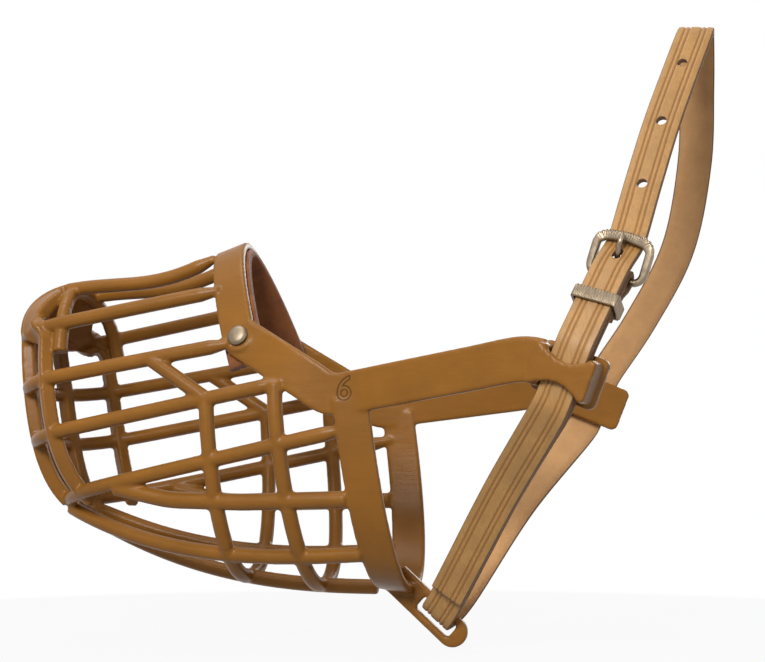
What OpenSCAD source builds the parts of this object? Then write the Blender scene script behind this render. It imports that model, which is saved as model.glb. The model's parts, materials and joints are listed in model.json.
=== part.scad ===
// Basket muzzle for a dog: one moulded basket with cheek arms, a leather nose pad held by
// two rivets, and a leather head strap with a small buckle and a metal keeper.
// X runs from the nose tip (negative) to the back of the head, Y across, +Z up.
// The origin is the centre of the rear opening, on the level where the basket is widest.

/* [Basket] */
// Length from the nose tip to the rear rim
basket_l = 136; // [115:1:165]
// Width across the bars at the rear rim
rear_w = 70; // [60:1:84]
// Width across the bars just behind the rounded nose
front_w = 58; // [48:1:70]
// Height of the crown above the widest level, at the nose band
crown_h = 59; // [50:1:70]
// Height of the front of the crown above the widest level
front_h = 46; // [40:1:56]
// Depth of the belly below the widest level, at the rear rim
belly_h = 60; // [50:1:72]
// Depth of the chin below the widest level
chin_h = 35; // [29:1:41]
// Length of the rounded nose
nose_round = 26; // [20:1:31]

/* [Bars] */
// Diameter of a round bar
bar_d = 5.2; // [4.4:0.1:6.2]
// Diameter of the lower side bar, which is thicker
low_bar_d = 5.8; // [4.8:0.1:6.8]
// Width of the upright bars of the nose
front_bar_w = 4.5; // [3.5:0.5:5.5]
// Depth of the upright bars of the nose, front to back
front_bar_t = 5; // [4:0.5:6]
// Distance between the two bars on top
top_bar_gap = 17; // [14:1:21]

/* [Bands and arms] */
// Width of the nose band
band_w = 12; // [10:0.5:14]
// Thickness of the nose band, the cheek bands and the rear rim
band_t = 2.8; // [2.2:0.1:3.4]
// Width of the rear rim
rim_w = 12; // [10:0.5:14]
// Width of each cheek arm
arm_w = 14; // [12:0.5:17]
// Length of each arm from the rim to the centre of its strap loop
arm_l = 66; // [55:1:79]
// Outward splay of each arm, in degrees
arm_splay = 15; // [12:1:18]
// Length of the strap loop's plate, along the arm
loop_l = 22; // [20:0.5:26]
// Height of the strap loop's plate
loop_h = 16; // [13:0.5:19]

/* [Strap] */
// Width of the leather strap
strap_w = 12; // [10:0.5:13]
// Thickness of the leather
strap_t = 2.2; // [1.8:0.1:2.6]
// Height of the strap's top above the origin
strap_top = 128; // [107:1:150]
// Distance of the strap's top behind the origin
strap_back = 108; // [98:1:120]
// Diameter of a strap hole
hole_d = 3.4; // [3:0.1:4]
// Distance between two strap holes
hole_pitch = 25; // [20:1:28]

/* [Buckle] */
// Diameter of the buckle's wire
wire_d = 2.4; // [2:0.1:2.8]
// Inside length of the buckle, along the strap
buckle_l = 11; // [10:0.5:13]
// Clearance between the strap and the buckle's sides
side_gap = 1.5; // [0.8:0.1:2.2]
// Diameter of the prong
prong_d = 1.8; // [1.5:0.1:2.1]

/* [Hidden] */
$fn = 32;

gap = 0.3;              // leather to its neighbours
layer_gap = 0.3;        // one leather layer to the next
bend_room = 0.3;        // more than that where both layers bend
pin_gap = 0.05;         // prong eye to the heel bar
far_away = 400;         // larger than the whole muzzle
bore_gap = 0.1;         // rivet bore over the rivet
overlap = 0.02;         // how far a cut passes the face that it cuts

plastic = [0.68, 0.47, 0.22];
plastic_dark = [0.60, 0.40, 0.18];
leather = [0.80, 0.58, 0.32];
pad_leather = [0.62, 0.38, 0.26];
metal = [0.62, 0.58, 0.50];

// ---------- small vector helpers ----------
function mix(a, b, t) = a + (b - a) * t;
function clamp01(v) = min(max(v, 0), 1);
function unit(v) = v / norm(v);
function flip_y(p) = [p[0], -p[1], p[2]];
function arch(t, p) = pow(max(1 - pow(clamp01(t), p), 0), 1 / p);
function spow(v, p) = sign(v) * pow(abs(v), p);

// ---------- envelope of the basket ----------
tip_x = -basket_l;
split_x = tip_x + nose_round;       // where the nose's rounding ends
tip_z = front_h - 15;               // level of the foremost point
crown_back = 21;                    // how far the nose leans back from there to the crown
chin_back = 21.5;                   // and to the chin
nose_lean = 0.12;                   // forward lean of the nose's front
nose_level = front_h - 32;          // level at which the basket's length is measured
crown_x = -0.434 * basket_l;        // where the nose band crosses the top
side_p = 2.3;                       // roundness of the belly
crown_p = 1.75;                     // roundness of the crown at the nose band
front_p = 2.4;                      // roundness of the crown at the tip
plan_p = 2.2;                       // roundness of the nose from above
crown_run = 11;                     // where the crown's slope starts behind the tip
chin_run = 17;                      // where the belly's curve starts behind the tip
rim_deep = 1.5;                     // how far the rim lies under the belly's depth

function half_w(x) = mix(front_w, rear_w, clamp01((x - split_x) / -split_x)) / 2;
function z_top(x) = mix(front_h, crown_h, (x - tip_x - crown_run) / (crown_x - tip_x - crown_run));
function z_bot(x) =
  let (t = clamp01((x - tip_x - chin_run) / (basket_l - chin_run - 7)))
  -mix(chin_h - 1, belly_h + rim_deep, 1 - pow(1 - t, 2.4));
function nose_line(z) = tip_x - nose_lean * (z - nose_level);
function nose_x(z) =
  z > tip_z
    ? nose_line(z) + crown_back * (1 - arch((z - tip_z) / (front_h - tip_z), 2))
    : nose_line(z) + chin_back * (1 - arch((tip_z - z) / (chin_h + tip_z + 1), 3));
function top_p(x) = mix(front_p, crown_p, clamp01((x - tip_x) / (crown_x - tip_x)));
function section(x, z) =
  z > 0 ? arch(z / z_top(x), top_p(x)) : arch(z / z_bot(x), side_p);
function skin_y(x, z) =
  half_w(x) * section(x, z) * arch(1 - clamp01((x - nose_x(z)) / nose_round), plan_p);
function belly_z(x, y) = z_bot(x) * arch(abs(y) / half_w(x), side_p);
function crown_z(x, y) = z_top(x) * arch(abs(y) / half_w(x), top_p(x));
// the nose's surface at a given height and distance from the middle
function nose_surface(y, z) =
  [nose_x(z) + nose_round * (1 - arch(abs(y) / (half_w(split_x) * section(split_x, z)), plan_p)), y, z];

// ---------- bars ----------
module ball(p, d) {
  translate(p) sphere(d = d * 1.04, $fn = 8);
}

module bar(path, d) {
  for (i = [0 : len(path) - 2])
    hull() {
      ball(path[i], d);
      ball(path[i + 1], d);
    }
}

// a bar that rises steadily along the basket's left side
function side_path(x0, x1, z0, z1, bow = 0, n = 5) =
  [for (i = [0 : n])
    let (t = i / n, x = mix(x0, x1, t), z = mix(z0, z1, t) + bow * 4 * t * (1 - t))
    [x, -skin_y(x, z), z]];

// levels of the four side bars at the nose tip, and how they rise along the basket
bar_level = [front_h - 18.4, 8, -12, 0.2 - chin_h];
bar_rise = [0.166, 0.15, 0.177, 0.2];
bar_end = [crown_x - 1, crown_x + 6, crown_x + 29, -8];
function ring_z(k, x) = bar_level[k] + bar_rise[k] * (x - tip_x);
function ring_side(k) =
  side_path(split_x, bar_end[k], ring_z(k, split_x), ring_z(k, bar_end[k]));
// the part of a side bar that goes round the nose
function ring_share(k) =
  1 - clamp01((split_x - nose_x(ring_z(k, split_x))) / nose_round);
function ring_x(k, c, x, left) =
  left == 0 ? x : ring_x(k, c, nose_x(ring_z(k, x)) + nose_round * (1 - c), left - 1);
function ring_front(k, n = 12) =
  let (reach = acos(pow(ring_share(k), plan_p / 2)))
  [for (i = [0 : n])
    let (
      a = reach * (2 * i / n - 1),
      x = ring_x(k, pow(cos(a), 2 / plan_p), tip_x + 4, 5),
      z = ring_z(k, x)
    )
    [x, spow(sin(a), 2 / plan_p) * half_w(x) * section(x, z), z]];

hoop_top_x = [crown_x + 2, crown_x + 26.7];
hoop_base_x = [crown_x + 7, crown_x + 34];
hoop_top_ring = 2;
function hoop_x(k, z) = mix(hoop_base_x[k], hoop_top_x[k], clamp01((z + belly_h) / belly_h));
function hoop_path(k, n = 14) =
  let (top = ring_z(hoop_top_ring, hoop_top_x[k]))
  concat(
    [[hoop_top_x[k], -skin_y(hoop_top_x[k], top), top]],
    [for (i = [0 : n])
      let (
        a = 90 - 180 * i / n,
        x = hoop_x(k, -belly_h * abs(cos(a)))
      )
      [x, -spow(sin(a), 2 / side_p) * half_w(x), spow(cos(a), 2 / side_p) * z_bot(x)]],
    [[hoop_top_x[k], skin_y(hoop_top_x[k], top), top]]
  );

low_side_x = [tip_x + 44, tip_x + 64, crown_x + 14, -8];
low_side_z = [7.5 - chin_h, 3.2 - chin_h, 2.4 - chin_h, 3.2 - chin_h];
function low_side_path() =
  [for (i = [0 : 3]) [low_side_x[i], -skin_y(low_side_x[i], low_side_z[i]), low_side_z[i]]];

function low_bar_path(n = 8) =
  [for (i = [0 : n])
    let (x = mix(tip_x + 19, -5, i / n), y = mix(8, 23, pow(i / n, 0.6)))
    [x, -y, belly_z(x, y)]];
function keel_path(n = 8) =
  [for (i = [0 : n]) let (x = mix(tip_x + 17, -5, i / n)) [x, 0, z_bot(x)]];

crown_hoop_x = tip_x + 15;
function top_path(n = 5) =
  [for (i = [0 : n])
    let (t = i / n, x = mix(crown_hoop_x, crown_x - 4.5, t))
    [x, -top_bar_gap / 2, mix(crown_z(x, top_bar_gap / 2), front_h - 1.3, 0.6 * sin(180 * t))]];

diag_start_x = crown_x - 20;
function diagonal_path() =
  [for (t = [0, 0.5, 1])
    let (
      x = mix(diag_start_x, hoop_top_x[0], t),
      z = mix(ring_z(1, diag_start_x), ring_z(hoop_top_ring, hoop_top_x[0]), t)
    )
    [x, -skin_y(x, z), z]];

// upright bars of the nose, from the chin to the crown hoop; above the top ring they widen
// into a cap with narrow slits between them
front_bar_count = 5;
front_bar_step = 0.46;
cap_bar_w = 8.6;
outer_cap = 0.83;                   // how far the outer bars move in above the top ring
front_bar_turn = 19;
function is_cap(z) = z > bar_level[0];
function upright_w(z) = is_cap(z) ? cap_bar_w : front_bar_w;
function front_turn(k) = k - (front_bar_count - 1) / 2;
function is_outer(k) = abs(front_turn(k)) > 1.5;
function front_bar_z(k) =
  let (top_turn = is_outer(k) ? 56 : 78)
  concat(
    [for (i = [0 : 7]) mix(-chin_h + 3, tip_z, i / 7)],
    [for (i = [1 : 4]) tip_z + (front_h - tip_z) * sin(top_turn * i / 4)]
  );
function front_bar_path(k) =
  [for (z = front_bar_z(k))
    let (
      share = front_bar_step * front_turn(k) * (is_cap(z) && is_outer(k) ? outer_cap : 1.02),
      y = share * half_w(split_x) * section(split_x, z)
    )
    nose_surface(y, z)];
hoop_reach = 68;
hoop_lag = 5;                       // how far the hoop's legs stand behind its top
function crown_hoop_path(n = 10) =
  [for (i = [0 : n])
    let (a = hoop_reach * (1 - 2 * i / n), x = crown_hoop_x + 1 + hoop_lag * pow(abs(sin(a)), 1.5))
    [x, -half_w(x) * spow(sin(a), 2 / front_p) * 0.9, (z_top(x) - 1.5) * spow(cos(a), 2 / front_p)]];

module slab_piece(p, w, t, spin) {
  translate(p) rotate([0, 0, spin]) cube([t, w, t], center = true);
}

module front_bar(k) {
  path = front_bar_path(k);
  spin = front_bar_turn * front_turn(k);
  for (i = [0 : len(path) - 2])
    hull()
      for (p = [path[i], path[i + 1]])
        slab_piece(p + [0.3, 0, 0], upright_w(p[2] + 1), front_bar_t, -spin);
}

module both_sides() {
  children();
  mirror([0, 1, 0]) children();
}

module nose_bars() {
  for (k = [0 : 3]) bar(ring_front(k), bar_d);
  for (k = [0 : front_bar_count - 1]) front_bar(k);
  bar(crown_hoop_path(), bar_d);
}

module left_wall_bars() {
  for (k = [0 : 3]) bar(ring_side(k), bar_d);
  bar(low_side_path(), low_bar_d);
  bar(diagonal_path(), bar_d);
}

module hoops() {
  for (k = [0, 1]) bar(hoop_path(k), bar_d);
}

module low_bars() {
  both_sides() bar(low_bar_path(), bar_d);
  bar(keel_path(), bar_d);
}

module top_pair() {
  both_sides() bar(top_path(), bar_d);
}

// ---------- bands: a flat strip that follows a path ----------
// each row of a route is [centre, width direction]
function band_normal(route, i) =
  let (
    a = max(i - 1, 0),
    b = min(i + 1, len(route) - 1),
    along = unit(route[b][0] - route[a][0])
  )
  unit(cross(unit(route[i][1]), along));
function strip_corners(p, across, out, w, t) =
  [p - across * w / 2 - out * t / 2, p + across * w / 2 - out * t / 2,
   p + across * w / 2 + out * t / 2, p - across * w / 2 + out * t / 2];
function strip_points(route, w, t, lift) =
  [for (i = [0 : len(route) - 1])
    let (
      out = band_normal(route, i),
      a = max(i - 1, 0),
      b = min(i + 1, len(route) - 1),
      along = unit(route[b][0] - route[a][0]),
      across = cross(along, out)
    )
    each strip_corners(route[i][0] + out * (is_list(lift) ? lift[i] : lift), across, out, w, t)];
function strip_faces(n) =
  concat(
    [[3, 2, 1, 0]],
    [for (i = [0 : n - 2], j = [0 : 3])
      each [
        [4 * i + (j + 1) % 4, 4 * i + 4 + j, 4 * i + j],
        [4 * i + 4 + (j + 1) % 4, 4 * i + 4 + j, 4 * i + (j + 1) % 4]
      ]],
    [[4 * n - 4, 4 * n - 3, 4 * n - 2, 4 * n - 1]]
  );
module strip(route, w, t, lift = 0) {
  polyhedron(points = strip_points(route, w, t, lift), faces = strip_faces(len(route)), convexity = 10);
}

// nose band: leans forward as it rises, and sits on the outside of the bars
band_lean = 0.34;
band_p = 1.75;
rivet_turn = 63.5;
rivet_z = spow(cos(rivet_turn), 2 / band_p) * crown_h;
rivet_y = spow(sin(rivet_turn), 2 / band_p) * half_w(crown_x);
rivet_x = crown_x + band_lean * (crown_h - rivet_z);
band_rows = 18;
function nose_band_route(n = band_rows) =
  [for (i = [0 : n])
    let (
      a = rivet_turn * n / (n - 2) * (1 - 2 * i / n),
      y = -spow(sin(a), 2 / band_p) * half_w(crown_x),
      z = spow(cos(a), 2 / band_p) * crown_h,
      x = crown_x + band_lean * (crown_h - z)
    )
    [[x, y, z], [1, 0, band_lean]]];

// cheek band: from the rivet down and back to the root of the arm, then out along the arm
arm_rise = 0.133;
arm_root = [-4, -rear_w / 2, 3.2];
loop_drop = 7.01;
loop_p = arm_root + [
  arm_l - arm_root[0],
  -(arm_l - arm_root[0]) * tan(arm_splay),
  arm_rise * (arm_l - arm_root[0]) - loop_drop
];
function arm_point(x) =
  [x, arm_root[1] - max(x - arm_root[0], 0) * tan(arm_splay), arm_root[2] + arm_rise * (x - arm_root[0])];
function cheek_point(t) =
  let (
    x = mix(rivet_x, -13, t),
    z = mix(rivet_z, 2.5, t)
  )
  [x, -mix(rivet_y, skin_y(x, z), clamp01(2 * t)), z];
arm_end_x = arm_l - loop_l / 2 + 3;
function arm_route() =
  concat(
    [for (t = [0, 0.25, 0.5, 0.75]) [cheek_point(t), [0.5, 0, 0.86]]],
    [[cheek_point(1), [0.33, 0, 0.94]]],
    [for (x = [-4, 6, 20, 36, arm_end_x]) [arm_point(x), [-0.13, 0, 1]]]
  );

// strap loop: a plate on the arm's end with a waisted bridge in front of it
loop_tilt = 22.5;
bridge_t = 2.6;
bridge_l = loop_l - 2;
bridge_h = loop_h - 2.8;
waist = 6.4;
waist_in = (bridge_h - waist) / 2;
waist_half = bridge_l / 2 - 1.6;
waist_r = (waist_half * waist_half + waist_in * waist_in) / (2 * waist_in);
loop_plate_t = 2.6;
loop_slot = 2 * strap_t + 2 * gap + layer_gap;
loop_post = (bridge_l - strap_w) / 2 - 2 * gap;
module loop_frame() {
  translate(loop_p) rotate([0, 0, -arm_splay]) rotate([0, loop_tilt, 0]) children();
}
module bridge_outline() {
  difference() {
    square([bridge_l, bridge_h], center = true);
    for (s = [-1, 1])
      translate([0, s * (waist / 2 + waist_r)]) circle(r = waist_r, $fn = 64);
  }
}
module strap_loop() {
  loop_frame() {
    translate([0, loop_slot / 2 + loop_plate_t, 0])
      rotate([90, 0, 0]) linear_extrude(loop_plate_t) square([loop_l, loop_h], center = true);
    translate([0, -loop_slot / 2, 0])
      rotate([90, 0, 0]) linear_extrude(bridge_t) bridge_outline();
    for (s = [-1, 1])
      translate([s * (bridge_l - loop_post) / 2, 0, 0])
        cube([loop_post, loop_slot + 2, bridge_h], center = true);
  }
}

module arm_body() {
  strip(arm_route(), arm_w, band_t);
  strap_loop();
}

// rear rim: a flat strip that hangs from arm to arm under the jaw
rim_lean = 0.13;
rim_turn = 82;
rim_top_z = 1;
function rim_x(z) = -2.5 - rim_lean * (z + 25);
function rim_route(n = 21) =
  concat(
    [[[rim_x(rim_top_z), -rear_w / 2, rim_top_z], [1, 0, -rim_lean]]],
    [for (i = [0 : n])
      let (
        a = rim_turn - 2 * rim_turn * i / n,
        z = -spow(cos(a), 2 / side_p) * (belly_h + rim_deep)
      )
      [[rim_x(z), -spow(sin(a), 2 / side_p) * (rear_w / 2), z], [1, 0, -rim_lean]]],
    [[[rim_x(rim_top_z), rear_w / 2, rim_top_z], [1, 0, -rim_lean]]]
  );
module rim_body() {
  strip(rim_route(), rim_w, band_t);
}

// chin loop: a flat tab under the rim with a slot that the strap passes through
tab_start = [4.8, 0, -belly_h - rim_deep];
tab_tilt = 42;
tab_w = 10.4;
tab_t = 3.2;
tab_l = 27;
tab_slot_w = strap_t + 3;
tab_slot_l = strap_w + 3;
tab_wall = 5;
tab_slot_x = tab_l - tab_wall - tab_slot_l / 2;
rim_low_z = -pow(cos(rim_turn / 21), 2 / side_p) * (belly_h + rim_deep);
module tab_frame() {
  translate(tab_start) rotate([0, tab_tilt, 0]) children();
}
module chin_tab() {
  tab_frame()
    rotate([90, 0, 0]) translate([0, 0, -tab_t / 2]) linear_extrude(tab_t)
      difference() {
        union() {
          translate([-tab_w / 2, -tab_w / 2]) square([tab_l, tab_w]);
          translate([tab_l - tab_w / 2, 0]) circle(d = tab_w);
        }
        translate([tab_slot_x - tab_slot_l / 2, -tab_slot_w / 2]) square([tab_slot_l, tab_slot_w]);
      }
}
// everything above the rim's underside
module above_rim() {
  translate([rim_x(rim_low_z), 0, rim_low_z]) rotate([0, atan(rim_lean), 0])
    translate([-40, -40, -band_t / 2 - overlap]) cube([80, 80, 60]);
}

// ---------- strap route ----------
function tangent_frame(point, along, ref) =
  let (w = unit(ref - along * (ref * along))) [point, w, cross(along, w), along];
function curve_point(p0, p1, p2, p3, t) =
  0.5 * (2 * p1 + (p2 - p0) * t + (2 * p0 - 5 * p1 + 4 * p2 - p3) * t * t
    + (3 * p1 - p0 - 3 * p2 + p3) * t * t * t);
// a smooth curve through rows of [point, width direction]
function smooth_rows(rows, per, first = 1, last = -1) =
  let (end = last < 0 ? len(rows) - 2 : last)
  [for (i = [first : end - 1], j = [0 : per - 1])
    let (t = j / per)
    [for (k = [0, 1]) curve_point(rows[i - 1][k], rows[i][k], rows[i + 1][k], rows[i + 2][k], t)]];

layer_step = strap_t + layer_gap;
loop_dir_w = [cos(loop_tilt) * cos(arm_splay), -cos(loop_tilt) * sin(arm_splay), -sin(loop_tilt)];
loop_dir_v = [sin(arm_splay), cos(arm_splay), 0];
loop_dir_s = [sin(loop_tilt) * cos(arm_splay), -sin(loop_tilt) * sin(arm_splay), cos(loop_tilt)];
function in_loop(y, z) = loop_p + loop_dir_v * y + loop_dir_s * z;
loop_exit = loop_h / 2 + 1.5;

chin_c = tab_start + tab_slot_x * [cos(tab_tilt), 0, -sin(tab_tilt)];
chin_w = [cos(tab_tilt), 0, -sin(tab_tilt)];
top_c = [strap_back, 0, strap_top];
top_w = [cos(5), 0, -sin(5)];

// the straight stretch between the loop and the buckle
buckle_c = loop_p + [15.7, 8.5, 36.5];
stretch_start = in_loop(0, loop_exit);
stretch_s = unit(buckle_c - stretch_start);
stretch = tangent_frame(stretch_start, stretch_s, loop_dir_w);
stretch_l = norm(buckle_c - stretch_start);
stretch_w = stretch[1];
stretch_v = stretch[2];
function on_stretch(y, z) = stretch_start + stretch_v * y + stretch_s * z;
module stretch_frame(z = 0) {
  multmatrix([
    [stretch_w[0], stretch_v[0], stretch_s[0], stretch_start[0] + stretch_s[0] * z],
    [stretch_w[1], stretch_v[1], stretch_s[1], stretch_start[1] + stretch_s[1] * z],
    [stretch_w[2], stretch_v[2], stretch_s[2], stretch_start[2] + stretch_s[2] * z],
    [0, 0, 0, 1]
  ]) children();
}

// heel bar, front bar and prong, measured in the stretch frame
heel_z = stretch_l - buckle_l / 2;
front_z = stretch_l + buckle_l / 2;
heel_y = layer_gap / 2 + strap_t + gap + wire_d / 2;
front_d = wire_d + 0.6;
front_y = heel_y - 4.85;
fold_r = wire_d / 2 + gap + strap_t / 2;
flap_end_z = heel_z - 14.5;

// rows from the chin to the loop, shared by both layers
low_rows = [
  [chin_c + [0, 6, 0], chin_w],
  [chin_c, chin_w],
  [chin_c + [0, -3.2, 0], chin_w],
  [chin_c + [6.2, -9.5, 8.5], [cos(40), 0, -sin(40)]],
  [mix(chin_c, loop_p, 0.54) + [0, -1, 0], [cos(33), 0, -sin(33)]],
  [in_loop(0, -loop_exit), loop_dir_w],
  [in_loop(0, 0), loop_dir_w]
];
function low_route(first) =
  concat(smooth_rows(low_rows, 3, first, 5), [low_rows[5]]);
under_bar = on_stretch(front_y + front_d / 2 + gap + strap_t / 2, front_z);
high_rows = [
  [on_stretch(0, front_z - 12), stretch_w],
  [under_bar, stretch_w],
  [mix(under_bar, top_c, 0.25) + [-0.4, -1.1, 0.7], [cos(18), -0.15, -sin(18)]],
  [mix(under_bar, top_c, 0.51) + [-0.3, -3.5, 1.9], [cos(15), -0.1, -sin(15)]],
  [mix(under_bar, top_c, 0.775) + [0.6, -5.1, 2.4], [cos(11), -0.05, -sin(11)]],
  [top_c + [-0.6, -8.5, -3.4], [cos(7), 0, -sin(7)]],
  [top_c + [0, -2.5, 0], top_w],
  [top_c, top_w],
  [top_c + [0, 4, 0], top_w]
];
high_route = concat(
  smooth_rows(high_rows, 4, 1, 6),
  [high_rows[6], high_rows[7]]
);
far_loop = [for (z = [-loop_exit, loop_exit]) [flip_y(in_loop(0, z)), flip_y(loop_dir_w)]];
far_low_rows = [
  [chin_c + [0, -6, 0], chin_w],
  [chin_c, chin_w],
  [chin_c + [0, 3.2, 0], chin_w],
  [chin_c + [6.2, 9.5, 6.5], [cos(40), 0, -sin(40)]],
  [mix(chin_c, flip_y(loop_p), 0.5) + [0, 1, 0], [cos(33), 0, -sin(33)]],
  far_loop[0],
  [flip_y(in_loop(0, 0)), flip_y(loop_dir_w)]
];
far_high_rows = [
  [flip_y(in_loop(0, -2)), flip_y(loop_dir_w)],
  far_loop[1],
  [mix(far_loop[1][0], top_c, 0.183) + [7.9, 6.3, 0.4], [cos(24), 0.15, -sin(24)]],
  [mix(far_loop[1][0], top_c, 0.412) + [13.6, 7.3, -1.1], [cos(20), 0.12, -sin(20)]],
  [mix(far_loop[1][0], top_c, 0.656) + [11.3, 6.2, -0.8], [cos(12), 0.05, -sin(12)]],
  [mix(far_loop[1][0], top_c, 0.851) + [5.4, 5.8, 1], [cos(8), 0, -sin(8)]],
  [top_c + [0, 8.5, -3.4], top_w],
  [top_c + [0, 2.5, 0], top_w],
  [top_c, top_w],
  [top_c + [0, -4, 0], top_w]
];
far_route = concat(
  [[chin_c, chin_w]],
  smooth_rows(far_low_rows, 3, 2, 5), [far_loop[0]],
  smooth_rows(far_high_rows, 3, 1, 7),
  [far_high_rows[7], [top_c, top_w]]
);

// inner layer: chin, loop, round the heel bar and back down behind itself
fold_route = concat(
  [[on_stretch(layer_step / 2, heel_z - 2), stretch_w]],
  [for (a = [0 : 22.5 : 180])
    [on_stretch(heel_y - fold_r * cos(a), heel_z + fold_r * sin(a)), stretch_w]],
  [
    [on_stretch(heel_y + fold_r - 0.5, heel_z - 2.2), stretch_w],
    [on_stretch(layer_step * 1.5 + 0.1, heel_z - 5.4), stretch_w],
    [on_stretch(layer_step * 1.5, heel_z - 6.4), stretch_w],
    [on_stretch(layer_step * 1.5, flap_end_z), stretch_w]
  ]
);
under_low = low_route(2);
under_rows = concat(
  [[chin_c, chin_w]], under_low,
  [[in_loop(0, loop_exit), loop_dir_w]]
);
under_lift = concat(
  [0, 0, -0.3, -0.8],
  [for (i = [4 : len(under_rows) - 1]) -layer_step / 2]
);

module strap_inner_band() {
  strip(concat(
    [for (i = [0 : len(under_rows) - 1])
      [under_rows[i][0] + band_normal(under_rows, i) * under_lift[i], under_rows[i][1]]],
    [[on_stretch(layer_step / 2, 3), stretch_w]],
    fold_route
  ), strap_w, strap_t);
}

// outer layer: from the top through the buckle, keeper and loop to its square end
tail_low = low_route(3);
tail_rows = concat(
  [for (i = [0 : len(tail_low) - 1])
    [tail_low[i][0] + band_normal(tail_low, i) * (layer_step / 2 + bend_room), tail_low[i][1]]],
  [[in_loop(-layer_step / 2, loop_exit), loop_dir_w]],
  [
    [on_stretch(-layer_step / 2, 3), stretch_w],
    [on_stretch(-layer_step / 2, heel_z - 3), stretch_w],
    [on_stretch(-layer_step / 2, heel_z + 1.2), stretch_w],
    [on_stretch(-layer_step / 2 + 0.25, heel_z + 2.4), stretch_w]
  ],
  high_route
);
// the prong's hole is drawn out by the prong's swing
prong_hole_z = heel_z + 5.6;
prong_hole_w = 3;
prong_hole_l = 6.4;
module prong_hole() {
  stretch_frame()
    hull()
      for (s = [-1, 1])
        translate([0, 0, prong_hole_z + s * (prong_hole_l - prong_hole_w) / 2])
          rotate([90, 0, 0]) cylinder(d = prong_hole_w, h = 10, center = true);
}
// the row of a route that ends the piece in which a given length is reached
function row_after(rows, length, i = 1) =
  let (step = norm(rows[i][0] - rows[i - 1][0]))
  step >= length || i >= len(rows) - 2 ? [i, length / step] : row_after(rows, length - step, i + 1);
module strap_hole(rows, length) {
  at = row_after(rows, length);
  i = at[0];
  c = mix(rows[i - 1][0], rows[i][0], min(at[1], 1));
  s = unit(rows[i][0] - rows[i - 1][0]);
  n = unit(cross(rows[i][1], s));
  w = cross(s, n);
  multmatrix([
    [w[0], s[0], n[0], c[0]],
    [w[1], s[1], n[1], c[1]],
    [w[2], s[2], n[2], c[2]],
    [0, 0, 0, 1]
  ]) cylinder(d = hole_d, h = strap_t * 3, center = true);
}

// ---------- buckle ----------
side_x = strap_w / 2 + side_gap + wire_d / 2;
buckle_shift = 1;       // the frame lies nearer to the strap's front edge than to its rear one
module along_x(d, l) {
  rotate([0, 90, 0]) cylinder(d = d, h = l, center = true);
}
module frame_rod(a, b, d) {
  hull() {
    translate(a) sphere(d = d, $fn = 16);
    translate(b) sphere(d = d, $fn = 16);
  }
}
module buckle_body() {
  stretch_frame() translate([buckle_shift, 0, 0]) {
    translate([0, heel_y, heel_z]) along_x(wire_d, 2 * side_x);
    translate([0, front_y, front_z]) along_x(front_d, 2 * side_x);
    for (s = [-1, 1])
      frame_rod([s * side_x, heel_y, heel_z], [s * side_x, front_y, front_z], wire_d);
    for (s = [-1, 1])
      translate([s * side_x, front_y, front_z]) sphere(d = front_d, $fn = 24);
  }
}

eye_w = 2.4;
eye_wall = 0.95;
prong_tip_y = front_y - front_d / 2 - prong_d / 2 - 0.02;
prong_path = [
  [0, heel_y - 1, heel_z + 2],
  [0, heel_y - 2.3, heel_z + 4.4],
  [0, heel_y - 4.9, heel_z + 6.6],
  [0, prong_tip_y - 0.15, front_z - 1.9],
  [0, prong_tip_y, front_z + 0.9]
];
module prong_body() {
  stretch_frame() {
    difference() {
      translate([0, heel_y, heel_z]) along_x(wire_d + 2 * (pin_gap + eye_wall), eye_w);
      translate([0, heel_y, heel_z]) along_x(wire_d + 2 * pin_gap, eye_w + 2);
    }
    for (i = [0 : len(prong_path) - 2])
      frame_rod(prong_path[i], prong_path[i + 1], prong_d);
  }
}
module prong_slot() {
  stretch_frame()
    translate([0, heel_y, heel_z + 1.4])
      cube([eye_w + 2 * gap + 0.6, 12, 9], center = true);
}

// keeper: a closed band round both layers and the folded end
keeper_z = heel_z - 10.5;
keeper_l = 4.4;
keeper_wall = 1.3;
keeper_out = -(layer_gap / 2 + strap_t + gap);
keeper_in = layer_step * 1.5 + strap_t / 2 + gap;
module keeper_body() {
  stretch_frame(keeper_z)
    difference() {
      translate([0, (keeper_out + keeper_in) / 2, 0])
        cube([strap_w + 2 * (gap + keeper_wall), keeper_in - keeper_out + 2 * keeper_wall, keeper_l],
          center = true);
      translate([0, (keeper_out + keeper_in) / 2, 0])
        cube([strap_w + 2 * gap, keeper_in - keeper_out, keeper_l + 2], center = true);
    }
}

// ---------- nose pad and rivets ----------
pad_t = 3;
pad_w = 14;
pad_turn = 73;
function pad_route() =
  [for (i = [0 : band_rows])
    let (
      a = pad_turn * (1 - 2 * i / band_rows),
      y = -spow(sin(a), 2 / band_p) * half_w(crown_x),
      z = spow(cos(a), 2 / band_p) * crown_h,
      x = crown_x + band_lean * (crown_h - z)
    )
    [[x, y, z], [1, 0, band_lean]]];
pad_lift = -(band_t / 2 + gap + pad_t / 2);
module pad_band(grow = 0) {
  strip(pad_route(), pad_w + grow, pad_t + grow, pad_lift);
}

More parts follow.
